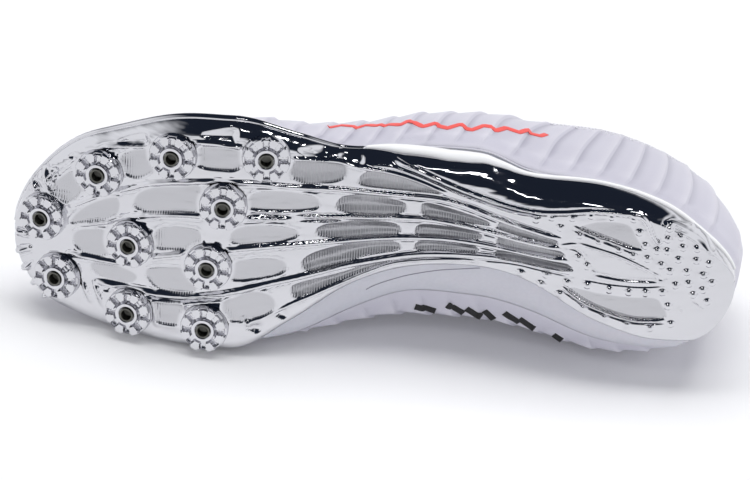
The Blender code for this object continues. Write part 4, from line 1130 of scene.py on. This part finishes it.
FOAM = foam_skin()
foam_mesh = refined("midsole", "midsole_foam", MIDSOLE_CREASE)
make_piece("midsole_foam", foam_mesh, FOAM, "white_foam", "midsole")
foam = surface_of(foam_mesh, [True] * len(foam_mesh.polygons))
lip = plate_front[:, 0] / MM
rim = lip[(lip[:, 0] > RIM_PLACES[0]) & (lip[:, 0] < RIM_PLACES[-1])][::2]
thick = np.interp(rim[:, 0], RIM_PLACES, RIM_THICK)
rim[:, 2] += np.interp(rim[:, 0], RIM_PLACES, RIM_RISE) * thick
make_piece("midsole_rim", bar_along("midsole_rim", rim, UPWARD, thick, thick, 1.0), gloss_skin(),
           "white_foam")
bead = lip[lip[:, 0] > RIM_PLACES[-1] - BEAD_UNDER_RIM][::2]
thick = np.interp(bead[:, 0], BEAD_PLACES, BEAD_THICK)
make_piece("plate_edge_bead", bar_along("plate_edge_bead", bead, UPWARD, thick, thick, 1.0), CHROME,
           "chromed_plate")
# the mould line is a thin bead coloured grey: the grey is a painted shade, as the foam there is white
line, facing = laid_on(foam, smooth_outline(MOULD_LINE, False), 0.0)
make_piece("mould_line", bar_along("mould_line", line, across_surface(line, facing), 0.5, 0.3, 1.0),
           print_and_painted_shade_film("mould_line_painted_shade", "#8E8D99"), "white_foam")

# Sockliner: thin foam with a knitted top, cut to the foot bed and laid loose on it. Its edge is
# softly rounded, as the tongue's is.
SOFT_CREASE = radians(60)
make_piece("sockliner", refined("insole", "sockliner", SOFT_CREASE), LINING, "sockliner_textile",
           "insole")

# Tongue: two skins of the upper's synthetic over thin foam, welded round the edge, and fixed
# under the vamp.
make_piece("tongue_padded", refined("tongue", "tongue_padded", SOFT_CREASE), SKIN, "white_upper",
           "tongue")

# Studio: a pale seamless floor, a dark ceiling whose strip lights draw lines in the chrome,
# and soft light from above and from the camera's side.
FLOOR_HALF = 6              # metres
FLOOR_HEIGHT = -0.0002      # just under the shoe
SKY_STRENGTH = 1.15

floor_mesh = bpy.data.meshes.new("studio_floor")
corners = [(x * FLOOR_HALF, y * FLOOR_HALF, 0) for x, y in ((-1, -1), (1, -1), (1, 1), (-1, 1))]
floor_mesh.from_pydata(corners, [], [(0, 1, 2, 3)])
paper = new_material("seamless_paper", Roughness=0.9, Base_Color=srgb("#FAFAFB"))[0]
floor_mesh.materials.append(paper)
floor = bpy.data.objects.new("studio_floor", floor_mesh)
bpy.context.scene.collection.objects.link(floor)
floor.location.z = FLOOR_HEIGHT

world = bpy.data.worlds.new("studio")
bpy.context.scene.world = world
world.use_nodes = True
sky = world.node_tree
direction = add_node(sky, "TexCoord").outputs["Generated"]
axes = add_node(sky, "SeparateXYZ", {"Vector": direction}).outputs
sideways = add_node(sky, "Math", {0: axes["X"]}, operation="ABSOLUTE").outputs[0]
overhead = add_node(sky, "MapRange", {"Value": axes["Z"], "From Min": 0.14, "From Max": 0.36},
                    interpolation_type="SMOOTHSTEP").outputs[0]
between = add_node(sky, "MapRange", {"Value": sideways, "From Min": 0.75, "From Max": 0.5}).outputs[0]
dark = add_node(sky, "Math", {0: overhead, 1: between}, operation="MULTIPLY").outputs[0]
dome = add_node(sky, "Mix", {"Factor": dark, 6: srgb("#F2F3F6"), 7: srgb("#1E2430")},
                data_type="RGBA").outputs[2]
set_inputs(sky.nodes["Background"], {"Color": dome, "Strength": SKY_STRENGTH})
bpy.context.scene.view_settings.view_transform = "Standard"

# Softboxes: name, size in metres, watts, place, what it faces, and whether the chrome mirrors it
LIGHTS = (
    ("overhead", (2.0, 1.2), 30, (0, 0.3, 1.8), (0, 0, 0), False),
    ("front_fill", (1.8, 0.8), 4, (0, -1.8, 0.9), (0, 0, 0.04), False),
    ("strip_long", (0.3, 0.06), 0.7, (0.02, -0.75, 1.25), (0, 0, 0.05), True),
    ("strip_short", (0.3, 0.06), 0.7, (0.5, -0.1, 1.25), (0, 0, 0.05), True),
)
for name, size, watts, place, target, mirrored in LIGHTS:
    light_data = bpy.data.lights.new(name, "AREA")
    light_data.shape = "RECTANGLE"
    light_data.size, light_data.size_y = size
    light_data.energy = watts
    light = bpy.data.objects.new(name, light_data)
    bpy.context.scene.collection.objects.link(light)
    light.location = place
    light.rotation_euler = (Vector(target) - Vector(place)).to_track_quat("-Z", "Y").to_euler()
    light.visible_glossy = mirrored
